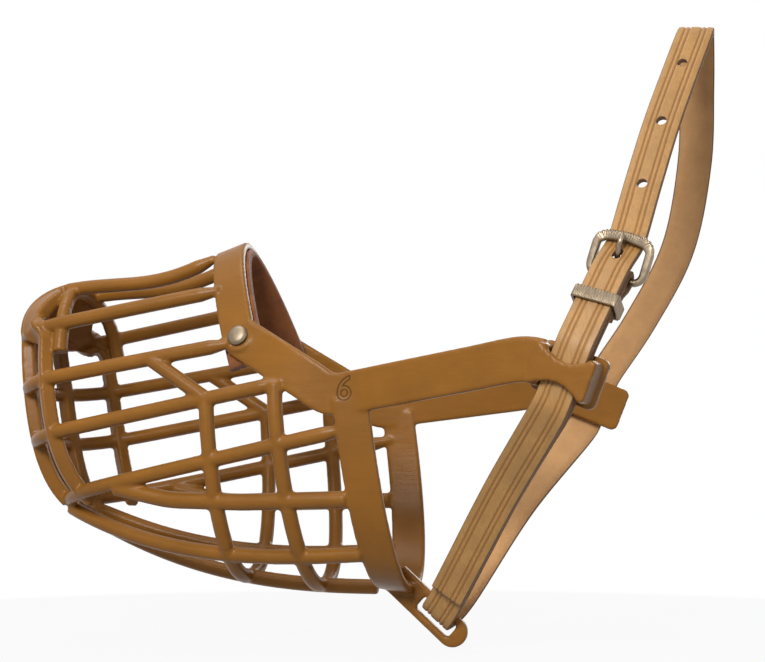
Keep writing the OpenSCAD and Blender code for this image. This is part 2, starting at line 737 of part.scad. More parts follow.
rivet_row = nose_band_route()[1];
rivet_n = band_normal(nose_band_route(), 1);
rivet_d = 3;
cap_d = 7;
module rivet_frame() {
  n = rivet_n;
  w = unit([1, 0, band_lean] - n * (n * [1, 0, band_lean]));
  s = cross(n, w);
  multmatrix([
    [w[0], s[0], n[0], rivet_row[0][0]],
    [w[1], s[1], n[1], rivet_row[0][1]],
    [w[2], s[2], n[2], rivet_row[0][2]],
    [0, 0, 0, 1]
  ]) children();
}
cap_h = 1.9;
cap_r = (cap_d * cap_d / 4 + cap_h * cap_h) / (2 * cap_h);
post_in = -pad_lift + pad_t / 2;
cap_base = band_t / 2 + 0.4;
module rivet_cap_body() {
  rivet_frame()
    translate([0, 0, cap_base])
      rotate_extrude($fn = 48)
        intersection() {
          translate([0, cap_h - cap_r]) circle(r = cap_r, $fn = 96);
          square([cap_d / 2, cap_h]);
        }
}
module rivet_post_body() {
  rivet_frame() {
    translate([0, 0, -post_in - 0.05]) cylinder(d = rivet_d, h = post_in + cap_base + 0.05, $fn = 32);
  }
  difference() {
    rivet_frame() translate([0, 0, -post_in - 1]) cylinder(d = 6, h = 1.6, $fn = 32);
    pad_band();
  }
}
module rivet_bore() {
  rivet_frame() translate([0, 0, -12]) cylinder(d = rivet_d + bore_gap, h = 24, $fn = 32);
}

// ---------- parts ----------
// each region is the space one moulding node fills
module low_region() {
  translate([split_x, 0, -33]) rotate([0, 4.9, 0])
    translate([-80, -200, -200]) cube([400, 400, 200]);
}
module front_region() {
  translate([split_x - far_away, -far_away / 2, -far_away / 2]) cube([far_away, far_away, far_away]);
}
module left_region() {
  translate([-far_away / 2, -far_away, -far_away / 2]) cube(far_away);
}
module bands() {
  strip(nose_band_route(), band_w, band_t);
  both_sides() arm_body();
  rim_body();
}
module front_grille() {
  color(plastic)
    render()
      difference() {
        intersection() {
          union() {
            nose_bars();
            top_pair();
            low_bars();
          }
          front_region();
        }
      }
}
module top_bars() {
  color(plastic_dark)
    render()
      difference() {
        top_pair();
        front_region();
        bands();
        pad_band(2 * gap);
      }
}
module side_bars(side) {
  render()
    difference() {
      intersection() {
        union() {
          mirror([0, side, 0]) left_wall_bars();
          hoops();
        }
        mirror([0, side, 0]) left_region();
      }
      front_region();
      low_region();
      bands();
      pad_band(2 * gap);
    }
}
module left_side_bars() {
  color(plastic_dark) side_bars(0);
}
module right_side_bars() {
  color(plastic_dark) side_bars(1);
}
module bottom_bars() {
  color(plastic)
    render()
      difference() {
        intersection() {
          union() {
            low_bars();
            hoops();
            both_sides() left_wall_bars();
          }
          low_region();
        }
        front_region();
        bands();
      }
}
module nose_band() {
  color(plastic)
    difference() {
      strip(nose_band_route(), band_w, band_t);
      both_sides() arm_body();
      both_sides() rivet_bore();
    }
}
module arm_part() {
  difference() {
    arm_body();
    rivet_bore();
  }
}
module left_arm() {
  color(plastic_dark) arm_part();
}
module right_arm() {
  color(plastic_dark) mirror([0, 1, 0]) arm_part();
}
module rear_rim() {
  color(plastic)
    difference() {
      rim_body();
      both_sides() arm_body();
    }
}
module chin_loop() {
  color(plastic_dark)
    difference() {
      chin_tab();
      above_rim();
    }
}
module nose_pad() {
  color(pad_leather)
    difference() {
      pad_band();
      both_sides() arm_body();
      both_sides() rivet_bore();
    }
}
module rivet_cap() {
  difference() {
    rivet_cap_body();
    strip(nose_band_route(), band_w, band_t);
    arm_body();
    rivet_post_body();
  }
}
module left_rivet_cap() {
  color(metal) rivet_cap();
}
module right_rivet_cap() {
  color(metal) mirror([0, 1, 0]) rivet_cap();
}
module left_rivet_post() {
  color(metal) rivet_post_body();
}
module right_rivet_post() {
  color(metal) mirror([0, 1, 0]) rivet_post_body();
}
module strap_under() {
  color(leather)
    difference() {
      strap_inner_band();
      prong_slot();
    }
}
module strap_far() {
  color(leather) strip(far_route, strap_w, strap_t);
}
hole_count = 3;
module strap_tail() {
  color(leather)
    difference() {
      strip(tail_rows, strap_w, strap_t);
      prong_hole();
      for (k = [1 : hole_count]) strap_hole(high_route, k * hole_pitch);
    }
}
module buckle_frame() {
  color(metal) buckle_body();
}
module buckle_prong() {
  color(metal) prong_body();
}
module keeper() {
  color(metal) keeper_body();
}

front_grille();
top_bars();
left_side_bars();
right_side_bars();
bottom_bars();
nose_band();
left_arm();
right_arm();
rear_rim();
chin_loop();
nose_pad();
left_rivet_cap();
left_rivet_post();
right_rivet_cap();
right_rivet_post();
strap_under();
strap_far();
strap_tail();
buckle_frame();
buckle_prong();
keeper();
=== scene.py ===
"""Basket muzzle: the moulded basket, its leather strap and nose pad, and the buckle's metal parts."""

import json
import math

import bmesh
import bpy
import numpy as np
from mathutils import Matrix, Vector


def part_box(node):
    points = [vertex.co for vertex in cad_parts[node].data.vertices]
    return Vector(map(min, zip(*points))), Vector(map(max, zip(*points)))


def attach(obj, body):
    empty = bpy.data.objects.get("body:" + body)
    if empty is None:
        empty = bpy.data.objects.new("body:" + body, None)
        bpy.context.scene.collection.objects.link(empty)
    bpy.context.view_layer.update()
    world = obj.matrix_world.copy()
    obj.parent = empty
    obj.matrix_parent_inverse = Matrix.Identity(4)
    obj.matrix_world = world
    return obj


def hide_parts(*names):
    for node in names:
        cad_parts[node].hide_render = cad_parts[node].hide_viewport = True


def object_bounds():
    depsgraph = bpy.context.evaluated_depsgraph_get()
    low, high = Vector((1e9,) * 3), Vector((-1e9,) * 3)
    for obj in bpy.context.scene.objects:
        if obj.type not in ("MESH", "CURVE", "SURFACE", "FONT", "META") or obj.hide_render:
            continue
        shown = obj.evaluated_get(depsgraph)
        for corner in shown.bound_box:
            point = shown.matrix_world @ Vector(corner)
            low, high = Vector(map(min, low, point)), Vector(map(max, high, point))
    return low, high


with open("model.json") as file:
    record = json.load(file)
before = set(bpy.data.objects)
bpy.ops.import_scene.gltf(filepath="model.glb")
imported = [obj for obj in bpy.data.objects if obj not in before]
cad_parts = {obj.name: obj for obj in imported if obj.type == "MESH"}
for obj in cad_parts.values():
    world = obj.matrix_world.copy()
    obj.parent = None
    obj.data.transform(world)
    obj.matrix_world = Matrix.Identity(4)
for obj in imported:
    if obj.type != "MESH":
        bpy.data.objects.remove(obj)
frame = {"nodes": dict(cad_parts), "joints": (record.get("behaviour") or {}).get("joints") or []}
CAD_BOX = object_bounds()

bl_info = {
    "name": "Basket muzzle",
    "version": (1, 0, 0),
    "blender": (4, 5, 0),
    "location": "View3D > Sidebar > Muzzle",
    "description": "Builds a moulded dog muzzle with its strap, nose pad and buckle",
    "category": "Add Mesh",
}

MM = 0.001
MOULDING = (
    "front_grille", "top_bars", "left_side_bars", "right_side_bars", "bottom_bars",
    "nose_band", "left_arm", "right_arm", "rear_rim", "chin_loop",
)


# ---------- vectors, in millimetres ----------

def vec(*xyz):
    return np.array(xyz, float)


def unit(v):
    return v / np.linalg.norm(v)


def mix(a, b, t):
    return a + (b - a) * t


def clamp(t):
    return min(max(t, 0.0), 1.0)


def unit_rows(table):
    return table / np.linalg.norm(table, axis=1)[:, None]


def turns(start, end, n):
    """n angles from start to end, which are in degrees."""
    return np.radians(np.linspace(start, end, n))


def circle(n):
    return np.linspace(0, 2 * math.pi, n, endpoint=False)


def flip_y(v):
    return v * vec(1, -1, 1)


def lean(angle):
    """The strap's width direction where it leans by this many degrees."""
    a = math.radians(angle)
    return vec(math.cos(a), 0, -math.sin(a))


def superround(t, power):
    """One quarter of a rounded outline: 1 at t = 0, falling to 0 at t = 1."""
    return max(1 - clamp(t) ** power, 0) ** (1 / power)


def signed_power(v, power):
    return math.copysign(abs(v) ** power, v)


# ---------- frames taken from the model ----------

def joint(name):
    return next(j for j in frame["joints"] if j["name"] == name)


STRAP_W = 12.0
STRAP_T = 2.2
LAYER_GAP = 0.3
GAP = 0.3
WIRE_D = 2.4
LAYER_STEP = STRAP_T + LAYER_GAP

ARM_SPLAY = math.radians(15)
LOOP_TILT = math.radians(22.5)
LOOP_EXIT = 9.5
LOOP_W = vec(math.cos(LOOP_TILT) * math.cos(ARM_SPLAY), -math.cos(LOOP_TILT) * math.sin(ARM_SPLAY),
             -math.sin(LOOP_TILT))
LOOP_V = vec(math.sin(ARM_SPLAY), math.cos(ARM_SPLAY), 0)
LOOP_S = vec(math.sin(LOOP_TILT) * math.cos(ARM_SPLAY), -math.sin(LOOP_TILT) * math.sin(ARM_SPLAY),
             math.cos(LOOP_TILT))

HEEL = np.array(joint("buckle_hinge")["pos_m"]) / MM
STRETCH_W = np.array(joint("buckle_hinge")["axis"])
STRETCH_S = np.array(joint("keeper_slide")["axis"])
STRETCH_V = unit(np.cross(STRETCH_S, STRETCH_W))
HEEL_Y = LAYER_GAP / 2 + STRAP_T + GAP + WIRE_D / 2


def in_loop(y, z):
    """A point in the left strap loop: y towards the dog, z up along the strap."""
    return LOOP_C + LOOP_V * y + LOOP_S * z


def on_stretch(y, z):
    """A point beside the straight stretch of strap below the buckle; the heel bar is at HEEL_Z."""
    return HEEL + STRETCH_V * (y - HEEL_Y) + STRETCH_S * (z - HEEL_Z)


ARM_L = 66.0
REAR_HALF = 35.0
LOOP_C = vec(ARM_L, -(REAR_HALF + (ARM_L + 4) * math.tan(ARM_SPLAY)), 5.5)
STRETCH_START = LOOP_C + LOOP_S * LOOP_EXIT
HEEL_Z = float(np.dot(HEEL - STRETCH_V * HEEL_Y - STRETCH_START, STRETCH_S))
BUCKLE_L = 11.0
FRONT_Z = HEEL_Z + BUCKLE_L
FRONT_D = WIRE_D + 0.6
FRONT_Y = HEEL_Y - 4.85
FOLD_R = WIRE_D / 2 + GAP + STRAP_T / 2
KEEPER_Z = HEEL_Z - 10.5
FLAP_END = KEEPER_Z - 4.0

TAB_W = lean(42)
CHIN_SLOT = 14.5
CHIN_C = vec(4.8, 0, -61.5) + CHIN_SLOT * TAB_W
TOP_C = vec(108, 0, 128)


# ---------- the strap's route ----------

def curve_point(rows, i, t):
    """A Catmull-Rom point between rows i and i + 1."""
    p0, p1, p2, p3 = (rows[i + k] for k in (-1, 0, 1, 2))
    return 0.5 * (2 * p1 + (p2 - p0) * t + (2 * p0 - 5 * p1 + 4 * p2 - p3) * t * t
                  + (3 * p1 - p0 - 3 * p2 + p3) * t ** 3)


def smooth_rows(rows, first, last, per=12):
    """Rows of (point, width direction) along a smooth curve through the given ones."""
    table = [np.concatenate(row) for row in rows]
    found = [curve_point(table, i, j / per) for i in range(first, last) for j in range(per)]
    return [(row[:3], row[3:]) for row in found + [table[last]]]


def offset(rows, lifts):
    """The same rows moved outwards from the dog by the given lifts."""
    points = [row[0] for row in rows]
    moved = []
    for i, (point, across) in enumerate(rows):
        along = unit(points[min(i + 1, len(rows) - 1)] - points[max(i - 1, 0)])
        out = unit(np.cross(across, along))
        lift = lifts if np.isscalar(lifts) else lifts(i)
        moved.append((point + out * lift, across))
    return moved


def low_rows(side):
    """Rows from the chin loop to a strap loop. side is -1 on the dog's left, where the layers are double."""
    def place(v):
        return v if side < 0 else flip_y(v)
    reach, rise = (0.54, 8.5) if side < 0 else (0.5, 6.5)
    return [
        (CHIN_C + vec(0, -6 * side, 0), TAB_W),
        (CHIN_C, TAB_W),
        (CHIN_C + vec(0, 3.2 * side, 0), TAB_W),
        (CHIN_C + vec(6.2, 9.5 * side, rise), lean(40)),
        (mix(CHIN_C, place(LOOP_C), reach) + vec(0, side, 0), lean(33)),
        (place(in_loop(0, -LOOP_EXIT)), place(LOOP_W)),
        (place(in_loop(0, 0)), place(LOOP_W)),
    ]


def inner_layer():
    """From the chin loop up through the left loop, round the heel bar and back down behind itself."""
    low = smooth_rows(low_rows(-1), 1, 5)
    settle = len(low) // 2
    rows = offset(low, lambda i: -LAYER_STEP / 2 * min(i / settle, 1))
    rows.append((in_loop(LAYER_STEP / 2, LOOP_EXIT), LOOP_W))
    near, behind = LAYER_STEP / 2, LAYER_STEP * 1.5
    places = [(near, 3), (near, HEEL_Z - 2)]
    for a in np.linspace(0, math.pi, 25):
        places.append((HEEL_Y - FOLD_R * math.cos(a), HEEL_Z + FOLD_R * math.sin(a)))
    places += [(HEEL_Y + FOLD_R - 0.5, HEEL_Z - 2.2), (behind + 0.1, HEEL_Z - 5.4)]
    places += [(behind, HEEL_Z - 6.4), (behind, FLAP_END)]
    return rows + [(on_stretch(y, z), STRETCH_W) for y, z in places]


def far_side():
    """From the chin loop up the dog's right side to the top."""
    loop_w = flip_y(LOOP_W)
    rows = [
        (flip_y(in_loop(0, -2)), loop_w),
        (flip_y(in_loop(0, LOOP_EXIT)), loop_w),
        (vec(84.5, 51, 35.5), lean(24) + vec(0, 0.15, 0)),
        (vec(99, 39.5, 60), lean(20) + vec(0, 0.12, 0)),
        (vec(106, 25, 88), lean(12) + vec(0, 0.05, 0)),
        (vec(107.6, 14, 112), lean(8)),
        (TOP_C + vec(0, 8.5, -3.4), lean(5)),
        (TOP_C + vec(0, 2.5, 0), lean(5)),
        (TOP_C, lean(5)),
    ]
    return smooth_rows(low_rows(1), 1, 5) + smooth_rows(rows, 1, 7) + [rows[8]]


HOLES = [vec(89.6, -32.5, 67.3), vec(96, -24, 89.9), vec(103.2, -14.5, 112)]
HOLE_D = 3.4
PRONG_HOLE_R, PRONG_HOLE_HALF = 1.4, 1.25
FOLD_SLOT_HALF = 1.8


def outer_layer():
    """From the top down through the buckle, keeper and left loop to the square end."""
    high = [
        (on_stretch(0, FRONT_Z - 12), STRETCH_W),
        (on_stretch(FRONT_Y + FRONT_D / 2 + GAP + STRAP_T / 2, FRONT_Z), STRETCH_W),
        (HOLES[0], lean(18) + vec(0, -0.15, 0)),
        (HOLES[1], lean(15) + vec(0, -0.10, 0)),
        (HOLES[2], lean(11) + vec(0, -0.05, 0)),
        (TOP_C + vec(-0.6, -8.5, -3.4), lean(7)),
        (TOP_C + vec(0, -2.5, 0), lean(5)),
        (TOP_C, lean(5)),
    ]
    low = offset(smooth_rows(low_rows(-1), 3, 5), LAYER_STEP / 2 + 0.3)
    rows = low + [(in_loop(-LAYER_STEP / 2, LOOP_EXIT), LOOP_W)]
    for lift, z in ((0, 3), (0, HEEL_Z - 3), (0, HEEL_Z + 1.2), (0.25, HEEL_Z + 2.4)):
        rows.append((on_stretch(lift - LAYER_STEP / 2, z), STRETCH_W))
    return (rows + smooth_rows(high, 1, 6))[::-1]


def distances(points):
    """How far along a line each of its points lies."""
    return np.r_[0, np.cumsum(np.linalg.norm(np.diff(points, axis=0), axis=1))]


def rows_at(table, at, wanted):
    """The table's rows at the wanted distances."""
    return np.stack([np.interp(wanted, at, column) for column in table.T], 1)


def facing(points, across):
    """Rows for points that share one width direction."""
    return np.concatenate([points, np.tile(across, (len(points), 1))], 1)


def resample(rows, step):
    """Evenly spaced rows, with corners eased."""
    table = np.array([np.concatenate(row) for row in rows])
    keep = np.r_[True, np.linalg.norm(np.diff(table[:, :3], axis=0), axis=1) > 1e-6]
    table = table[keep]
    at = distances(table[:, :3])
    even = np.linspace(0, at[-1], int(at[-1] / step) + 1)
    return rows_at(table, at, even), even


def ease(table, sigma, keep=0.0):
    """Averages each row with its neighbours, except where keep is 1."""
    reach = int(sigma * 3)
    weights = np.exp(-0.5 * (np.arange(-reach, reach + 1) / sigma) ** 2)
    weights /= weights.sum()
    padded = np.pad(table, ((reach, reach), (0, 0)), mode="edge")
    padded[:reach] = 2 * table[0] - table[1:reach + 1][::-1]
    padded[-reach:] = 2 * table[-1] - table[-reach - 1:-1][::-1]
    soft = np.stack([np.convolve(column, weights, "valid") for column in padded.T], 1)
    return mix(soft, table, keep)


# ---------- mesh building ----------

def add_object(name, data):
    """A new object in the scene, holding this mesh, lamp or camera."""
    thing = bpy.data.objects.new(name, data)
    bpy.context.scene.collection.objects.link(thing)
    return thing


def new_mesh(name, points, faces, smooth=True):
    """A mesh object from points in millimetres."""
    mesh = bpy.data.meshes.new(name)
    mesh.from_pydata([tuple(p) for p in np.asarray(points) * MM], [], faces)
    mesh.validate()
    shell = bmesh.new()
    shell.from_mesh(mesh)
    bmesh.ops.recalc_face_normals(shell, faces=shell.faces)
    shell.to_mesh(mesh)
    shell.free()
    if smooth:
        mesh.shade_smooth()
    return add_object(name, mesh)


def frames_along(table, closed=False):
    """Centre, width, thickness and length directions at each row of a route."""
    points, widths = table[:, :3], table[:, 3:]
    if closed:
        along = np.roll(points, -1, 0) - np.roll(points, 1, 0)
    else:
        along = np.gradient(points, axis=0)
    along = unit_rows(along)
    out = unit_rows(np.cross(along, widths))
    return points, np.cross(out, along), out


def tube(name, rings, closed=False):
    """Joins rings of points into one skin, with flat ends unless it is closed."""
    n, m = len(rings), len(rings[0])
    faces = []
    for i in range(n if closed else n - 1):
        a, b = i * m, (i + 1) % n * m
        faces += [(a + j, a + (j + 1) % m, b + (j + 1) % m, b + j) for j in range(m)]
    if not closed:
        faces.append(tuple(range(m))[::-1])
        faces.append(tuple((n - 1) * m + j for j in range(m)))
    return new_mesh(name, np.concatenate(rings), faces)


def sweep(name, table, profile, closed=False):
    """Sweeps a closed profile of (across, out) points along a route. profile may be a function of the row."""
    points, across, out = frames_along(table, closed)
    rings = []
    for i in range(len(points)):
        shape = profile(i) if callable(profile) else profile
        rings.append(points[i] + shape[:, :1] * across[i] + shape[:, 1:] * out[i])
    return tube(name, rings, closed)


def rounded_rect(width, height, radius, per=4):
    """A rectangle's outline with rounded corners, starting at its right side."""
    points = []
    for cx, cy, start in ((1, 1, 0), (-1, 1, 90), (-1, -1, 180), (1, -1, 270)):
        for a in turns(start, start + 90, per + 1):
            points.append((cx * (width / 2 - radius) + radius * math.cos(a),
                           cy * (height / 2 - radius) + radius * math.sin(a)))
    return np.array(points)


def ring_profile(radius, n, flat=1.0):
    turn = circle(n)
    return np.stack([radius * np.cos(turn), radius * flat * np.sin(turn)], 1)


def lathe(name, outline, centre, axis, n=48):
    """Spins an outline of (radius, height) points about an axis."""
    axis = unit(axis)
    u = unit(np.cross(axis, vec(0.3, 0.2, 1)))
    v = np.cross(axis, u)
    spokes = [u * math.cos(a) + v * math.sin(a) for a in circle(n)]
    return tube(name, [[centre + axis * h + spoke * r for spoke in spokes] for r, h in outline])


def apply_modifiers(piece):
    """Replaces the piece's mesh by the one its modifiers give."""
    graph = bpy.context.evaluated_depsgraph_get()
    mesh = bpy.data.meshes.new_from_object(piece.evaluated_get(graph))
    piece.modifiers.clear()
    piece.data = mesh
    return piece


def cut(piece, cutters):
    """Takes the cutters' shapes out of the piece."""
    for cutter in cutters:
        tool = piece.modifiers.new("cut", "BOOLEAN")
        tool.operation = "DIFFERENCE"
        tool.solver = "EXACT"
        tool.object = cutter
    apply_modifiers(piece)
    for cutter in cutters:
        bpy.data.objects.remove(cutter)
    return piece


def taubin(mesh, rounds, shrink=0.5, grow=-0.52):
    """Smooths a dense mesh without thinning it."""
    count = len(mesh.vertices)
    co = np.empty(count * 3)
    mesh.vertices.foreach_get("co", co)
    co = co.reshape(-1, 3)
    edges = np.empty(len(mesh.edges) * 2, int)
    mesh.edges.foreach_get("vertices", edges)
    a, b = edges.reshape(-1, 2).T
    ends, others = np.r_[a, b], np.r_[b, a]
    degree = np.bincount(ends, minlength=count)[:, None]
    for _ in range(rounds):
        for factor in (shrink, grow):
            total = np.stack([np.bincount(ends, co[others, k], count) for k in range(3)], 1)
            co += factor * (total / degree - co)
    mesh.vertices.foreach_set("co", co.ravel())
    mesh.update()


# ---------- the basket's shape ----------

TIP_X, NOSE_ROUND = -136.0, 26.0
SPLIT_X = TIP_X + NOSE_ROUND
FRONT_W, REAR_W = 58.0, 70.0
FRONT_H, CROWN_H, BELLY_H, CHIN_H = 46.0, 59.0, 60.0, 35.0
TIP_Z = FRONT_H - 15
NOSE_LEAN, NOSE_DROP = 0.12, 32
CROWN_BACK, CHIN_BACK = 21, 21.5
CROWN_X = TIP_X * 0.434
SIDE_P, CROWN_P, FRONT_P, PLAN_P = 2.3, 1.75, 2.4, 2.2
RIM_DEEP = 1.5
BAR_D, LOW_BAR_D = 5.2, 5.8
BAND_W, BAND_T, BAND_LEAN = 12.0, 2.8, 0.34
RIM_W, RIM_LEAN, RIM_TURN = 12.0, 0.13, 82
RIM_X, RIM_LEVEL = -2.5, 25
ARM_W, ARM_RISE = 14.0, 0.133
ARM_ROOT = vec(-4, -REAR_HALF, 3.2)
LEVELS = (FRONT_H - 18.4, 8.0, -12.0, 0.2 - CHIN_H)
RISES = (0.166, 0.15, 0.177, 0.2)
ENDS = (CROWN_X + 2, CROWN_X + 9, CROWN_X + 29, -8.0)
HOOP_TOPS = (CROWN_X + 2, CROWN_X + 26.7)
HOOP_BASES = (CROWN_X + 7, CROWN_X + 34)


def half_w(x):
    return mix(FRONT_W, REAR_W, clamp((x - SPLIT_X) / -SPLIT_X)) / 2


def z_top(x):
    return mix(FRONT_H, CROWN_H, (x - TIP_X - 11) / (CROWN_X - TIP_X - 11))


def z_bottom(x):
    t = clamp((x - TIP_X - 17) / (-TIP_X - 24))
    return -mix(CHIN_H - 1, BELLY_H + RIM_DEEP, 1 - (1 - t) ** 2.4)


def nose_x(z):
    line = TIP_X - NOSE_LEAN * (z - FRONT_H + NOSE_DROP)
    if z > TIP_Z:
        return line + CROWN_BACK * (1 - superround((z - TIP_Z) / (FRONT_H - TIP_Z), 2))
    return line + CHIN_BACK * (1 - superround((TIP_Z - z) / (CHIN_H + TIP_Z + 1), 3))


def top_p(x):
    return mix(FRONT_P, CROWN_P, clamp((x - TIP_X) / (CROWN_X - TIP_X)))


def section(x, z):
    """Width at this height, as a share of the widest."""
    return superround(z / z_top(x), top_p(x)) if z > 0 else superround(z / z_bottom(x), SIDE_P)


def skin(x, z):
    """A point on the basket's left side."""
    plan = superround(1 - clamp((x - nose_x(z)) / NOSE_ROUND), PLAN_P)
    return vec(x, -half_w(x) * section(x, z) * plan, z)


def nose_point(y, z):
    """A point on the nose, at this height and distance from the middle."""
    widest = half_w(SPLIT_X) * section(SPLIT_X, z)
    return vec(nose_x(z) + NOSE_ROUND * (1 - superround(abs(y) / widest, PLAN_P)), y, z)


def level(k, x):
    return LEVELS[k] + RISES[k] * (x - TIP_X)


def side_bar(k):
    """One of the four long bars: from its rear end on the left, round the nose, to the right."""
    share = 1 - clamp((SPLIT_X - nose_x(level(k, SPLIT_X))) / NOSE_ROUND)
    reach = math.acos(share ** (PLAN_P / 2))
    front = []
    for i in range(81):
        a = reach * (2 * i / 80 - 1)
        x = TIP_X + 4
        for _ in range(6):
            x = nose_x(level(k, x)) + NOSE_ROUND * (1 - abs(math.cos(a)) ** (2 / PLAN_P))
        z = level(k, x)
        front.append(vec(x, signed_power(math.sin(a), 2 / PLAN_P) * half_w(x) * section(x, z), z))
    side = [skin(x, level(k, x)) for x in np.linspace(ENDS[k], SPLIT_X, 40, endpoint=False)]
    return side + front + [flip_y(p) for p in side[::-1]]


def hoop(k):
    """A hoop that hangs across the belly from the third long bar."""
    top_x, base_x = HOOP_TOPS[k], HOOP_BASES[k]
    top = skin(top_x, level(2, top_x))
    path = [top]
    for a in turns(90, -90, 61):
        share = abs(math.cos(a))
        x = mix(base_x, top_x, clamp((BELLY_H - BELLY_H * share) / BELLY_H))
        y = -signed_power(math.sin(a), 2 / SIDE_P) * half_w(x)
        path.append(vec(x, y, share ** (2 / SIDE_P) * z_bottom(x)))
    return path + [flip_y(top)]


def low_side_bar():
    xs = (TIP_X + 44, TIP_X + 64, CROWN_X + 14, -8.0)
    zs = (7.5 - CHIN_H, 3.2 - CHIN_H, 2.4 - CHIN_H, 3.2 - CHIN_H)
    return [skin(x, np.interp(x, xs, zs)) for x in np.linspace(xs[0], xs[3], 40)]


def diagonal():
    a, b = CROWN_X - 20, HOOP_TOPS[0]
    return [skin(mix(a, b, t), mix(level(1, a), level(2, b), t)) for t in np.linspace(0, 1, 9)]


def low_bar():
    path = []
    for t in np.linspace(0, 1, 33):
        x, y = mix(TIP_X + 19, -5, t), mix(8, 23, t ** 0.6)
        path.append(vec(x, -y, z_bottom(x) * superround(y / half_w(x), SIDE_P)))
    return path


def keel():
    return [vec(x, 0, z_bottom(x)) for x in np.linspace(TIP_X + 17, -5, 33)]


HOOP_X = TIP_X + 15
TOP_GAP = 17.0


def top_bar():
    """A bar of the top pair, which dips between the crown hoop and the nose band."""
    path = []
    for t in np.linspace(0, 1, 25):
        x = mix(HOOP_X, CROWN_X - 4.5, t)
        high = z_top(x) * superround(TOP_GAP / 2 / half_w(x), top_p(x))
        path.append(vec(x, -TOP_GAP / 2, mix(high, FRONT_H - 1.3, 0.6 * math.sin(math.pi * t))))
    return path


def crown_hoop():
    path = []
    for a in turns(68, -68, 41):
        x = HOOP_X + 1 + 5 * abs(math.sin(a)) ** 1.5
        path.append(vec(x, -half_w(x) * signed_power(math.sin(a), 2 / FRONT_P) * 0.9,
                        (z_top(x) - 1.5) * abs(math.cos(a)) ** (2 / FRONT_P)))
    return path


TAPER = 7


def rod(name, path, d, thin_start=1.0, thin_end=1.0):
    """A round bar along a path, which may thin towards its ends."""
    table, _ = resample([(p, vec(0, 0, 1)) for p in path], 1.0)
    points = ease(table, 2.5)[:, :3]
    along = unit_rows(np.gradient(points, axis=0))
    side = np.cross(along, np.where(np.abs(along[:, 2:]) > 0.8, vec(1, 0, 0), vec(0, 0, 1)))
    table = np.concatenate([points, unit_rows(side)], 1)
    last = len(table) - 1

    def profile(i):
        thin = min(mix(thin_start, 1, clamp(i / TAPER)), mix(thin_end, 1, clamp((last - i) / TAPER)))
        return ring_profile(d / 2, 20) * thin

    return sweep(name, table, profile)


UPRIGHTS, UPRIGHT_STEP = 5, 0.46
UPRIGHT_W, CAP_W, UPRIGHT_D = 4.5, 8.6, 5.0
OUTER_CAP_W = CAP_W * 1.15
UPRIGHT_SPREAD, CAP_SPREAD = 1.02, 0.83
UPRIGHT_TURN, CAP_TURN = 19, 28


def upright_rows(k):
    """Rows up the nose. The outer bars move inwards above the top long bar, and end lower."""
    turn = k - (UPRIGHTS - 1) / 2
    outer = abs(turn) > 1.5
    top = turns(2, 56 if outer else 78, 30)
    rows = []
    for z in [*np.linspace(3 - CHIN_H, TIP_Z, 60), *(TIP_Z + (FRONT_H - TIP_Z) * np.sin(top))]:
        cap = clamp((z - LEVELS[0]) / 3) if outer else 0
        spread = mix(UPRIGHT_SPREAD, CAP_SPREAD, cap)
        spin = math.radians(mix(UPRIGHT_TURN, CAP_TURN, cap) * turn)
        y = UPRIGHT_STEP * turn * spread * half_w(SPLIT_X) * section(SPLIT_X, z)
        rows.append((nose_point(y, z) + vec(0.3, 0, 0), vec(math.sin(spin), math.cos(spin), 0)))
    return rows


def upright(k):
    """A flat bar up the nose, which widens into the cap above the top long bar."""
    rows = upright_rows(k)
    cap_w = CAP_W if 0 < k < UPRIGHTS - 1 else OUTER_CAP_W
    table, _ = resample(rows, 0.8)
    table = ease(table, 3.0)

    def profile(i):
        wide = mix(UPRIGHT_W, cap_w, clamp((table[i, 2] - LEVELS[0] + 1) / 2))
        return rounded_rect(wide, UPRIGHT_D, 0.7, 2)

    return sweep("upright", table, profile)


def band_row(a, top_x=CROWN_X, half=half_w(CROWN_X)):
    """A row of an arch over the nose, at an angle from its top."""
    y = -signed_power(math.sin(a), 2 / CROWN_P) * half
    z = abs(math.cos(a)) ** (2 / CROWN_P) * CROWN_H
    return vec(top_x + BAND_LEAN * (CROWN_H - z), y, z), vec(1, 0, BAND_LEAN)


RIVET_TURN = math.radians(63.5)


def strip(name, rows, width, thick, radius=0.7, soft=2.0):
    table, _ = resample(rows, 0.8)
    return sweep(name, ease(table, soft / 0.8), rounded_rect(width, thick, radius, 3))


def nose_band():
    return strip("band", [band_row(a) for a in np.linspace(RIVET_TURN, -RIVET_TURN, 121)], BAND_W, BAND_T)


def rivet_seat():
    """The rounded end that the nose band and the cheek arm share, under the rivet."""
    centre, across = band_row(RIVET_TURN)
    out = np.cross(band_row(RIVET_TURN + 0.02)[0] - centre, across)
    r, h = BAND_W / 2, BAND_T / 2
    outline = [(r - 0.6, -h), (r, 0.6 - h), (r, h - 0.6), (r - 0.6, h)]
    return lathe("seat", outline, centre, out)


def rear_rim():
    across = vec(1, 0, -RIM_LEAN)
    rows = [(vec(RIM_X - RIM_LEAN * (RIM_LEVEL + 1), -REAR_HALF, 1), across)]
    for a in turns(RIM_TURN, -RIM_TURN, 121):
        z = -abs(math.cos(a)) ** (2 / SIDE_P) * (BELLY_H + RIM_DEEP)
        y = -signed_power(math.sin(a), 2 / SIDE_P) * REAR_HALF
        rows.append((vec(RIM_X - RIM_LEAN * (z + RIM_LEVEL), y, z), across))
    rows.append((flip_y(rows[0][0]), across))
    return strip("rim", rows, RIM_W, BAND_T)


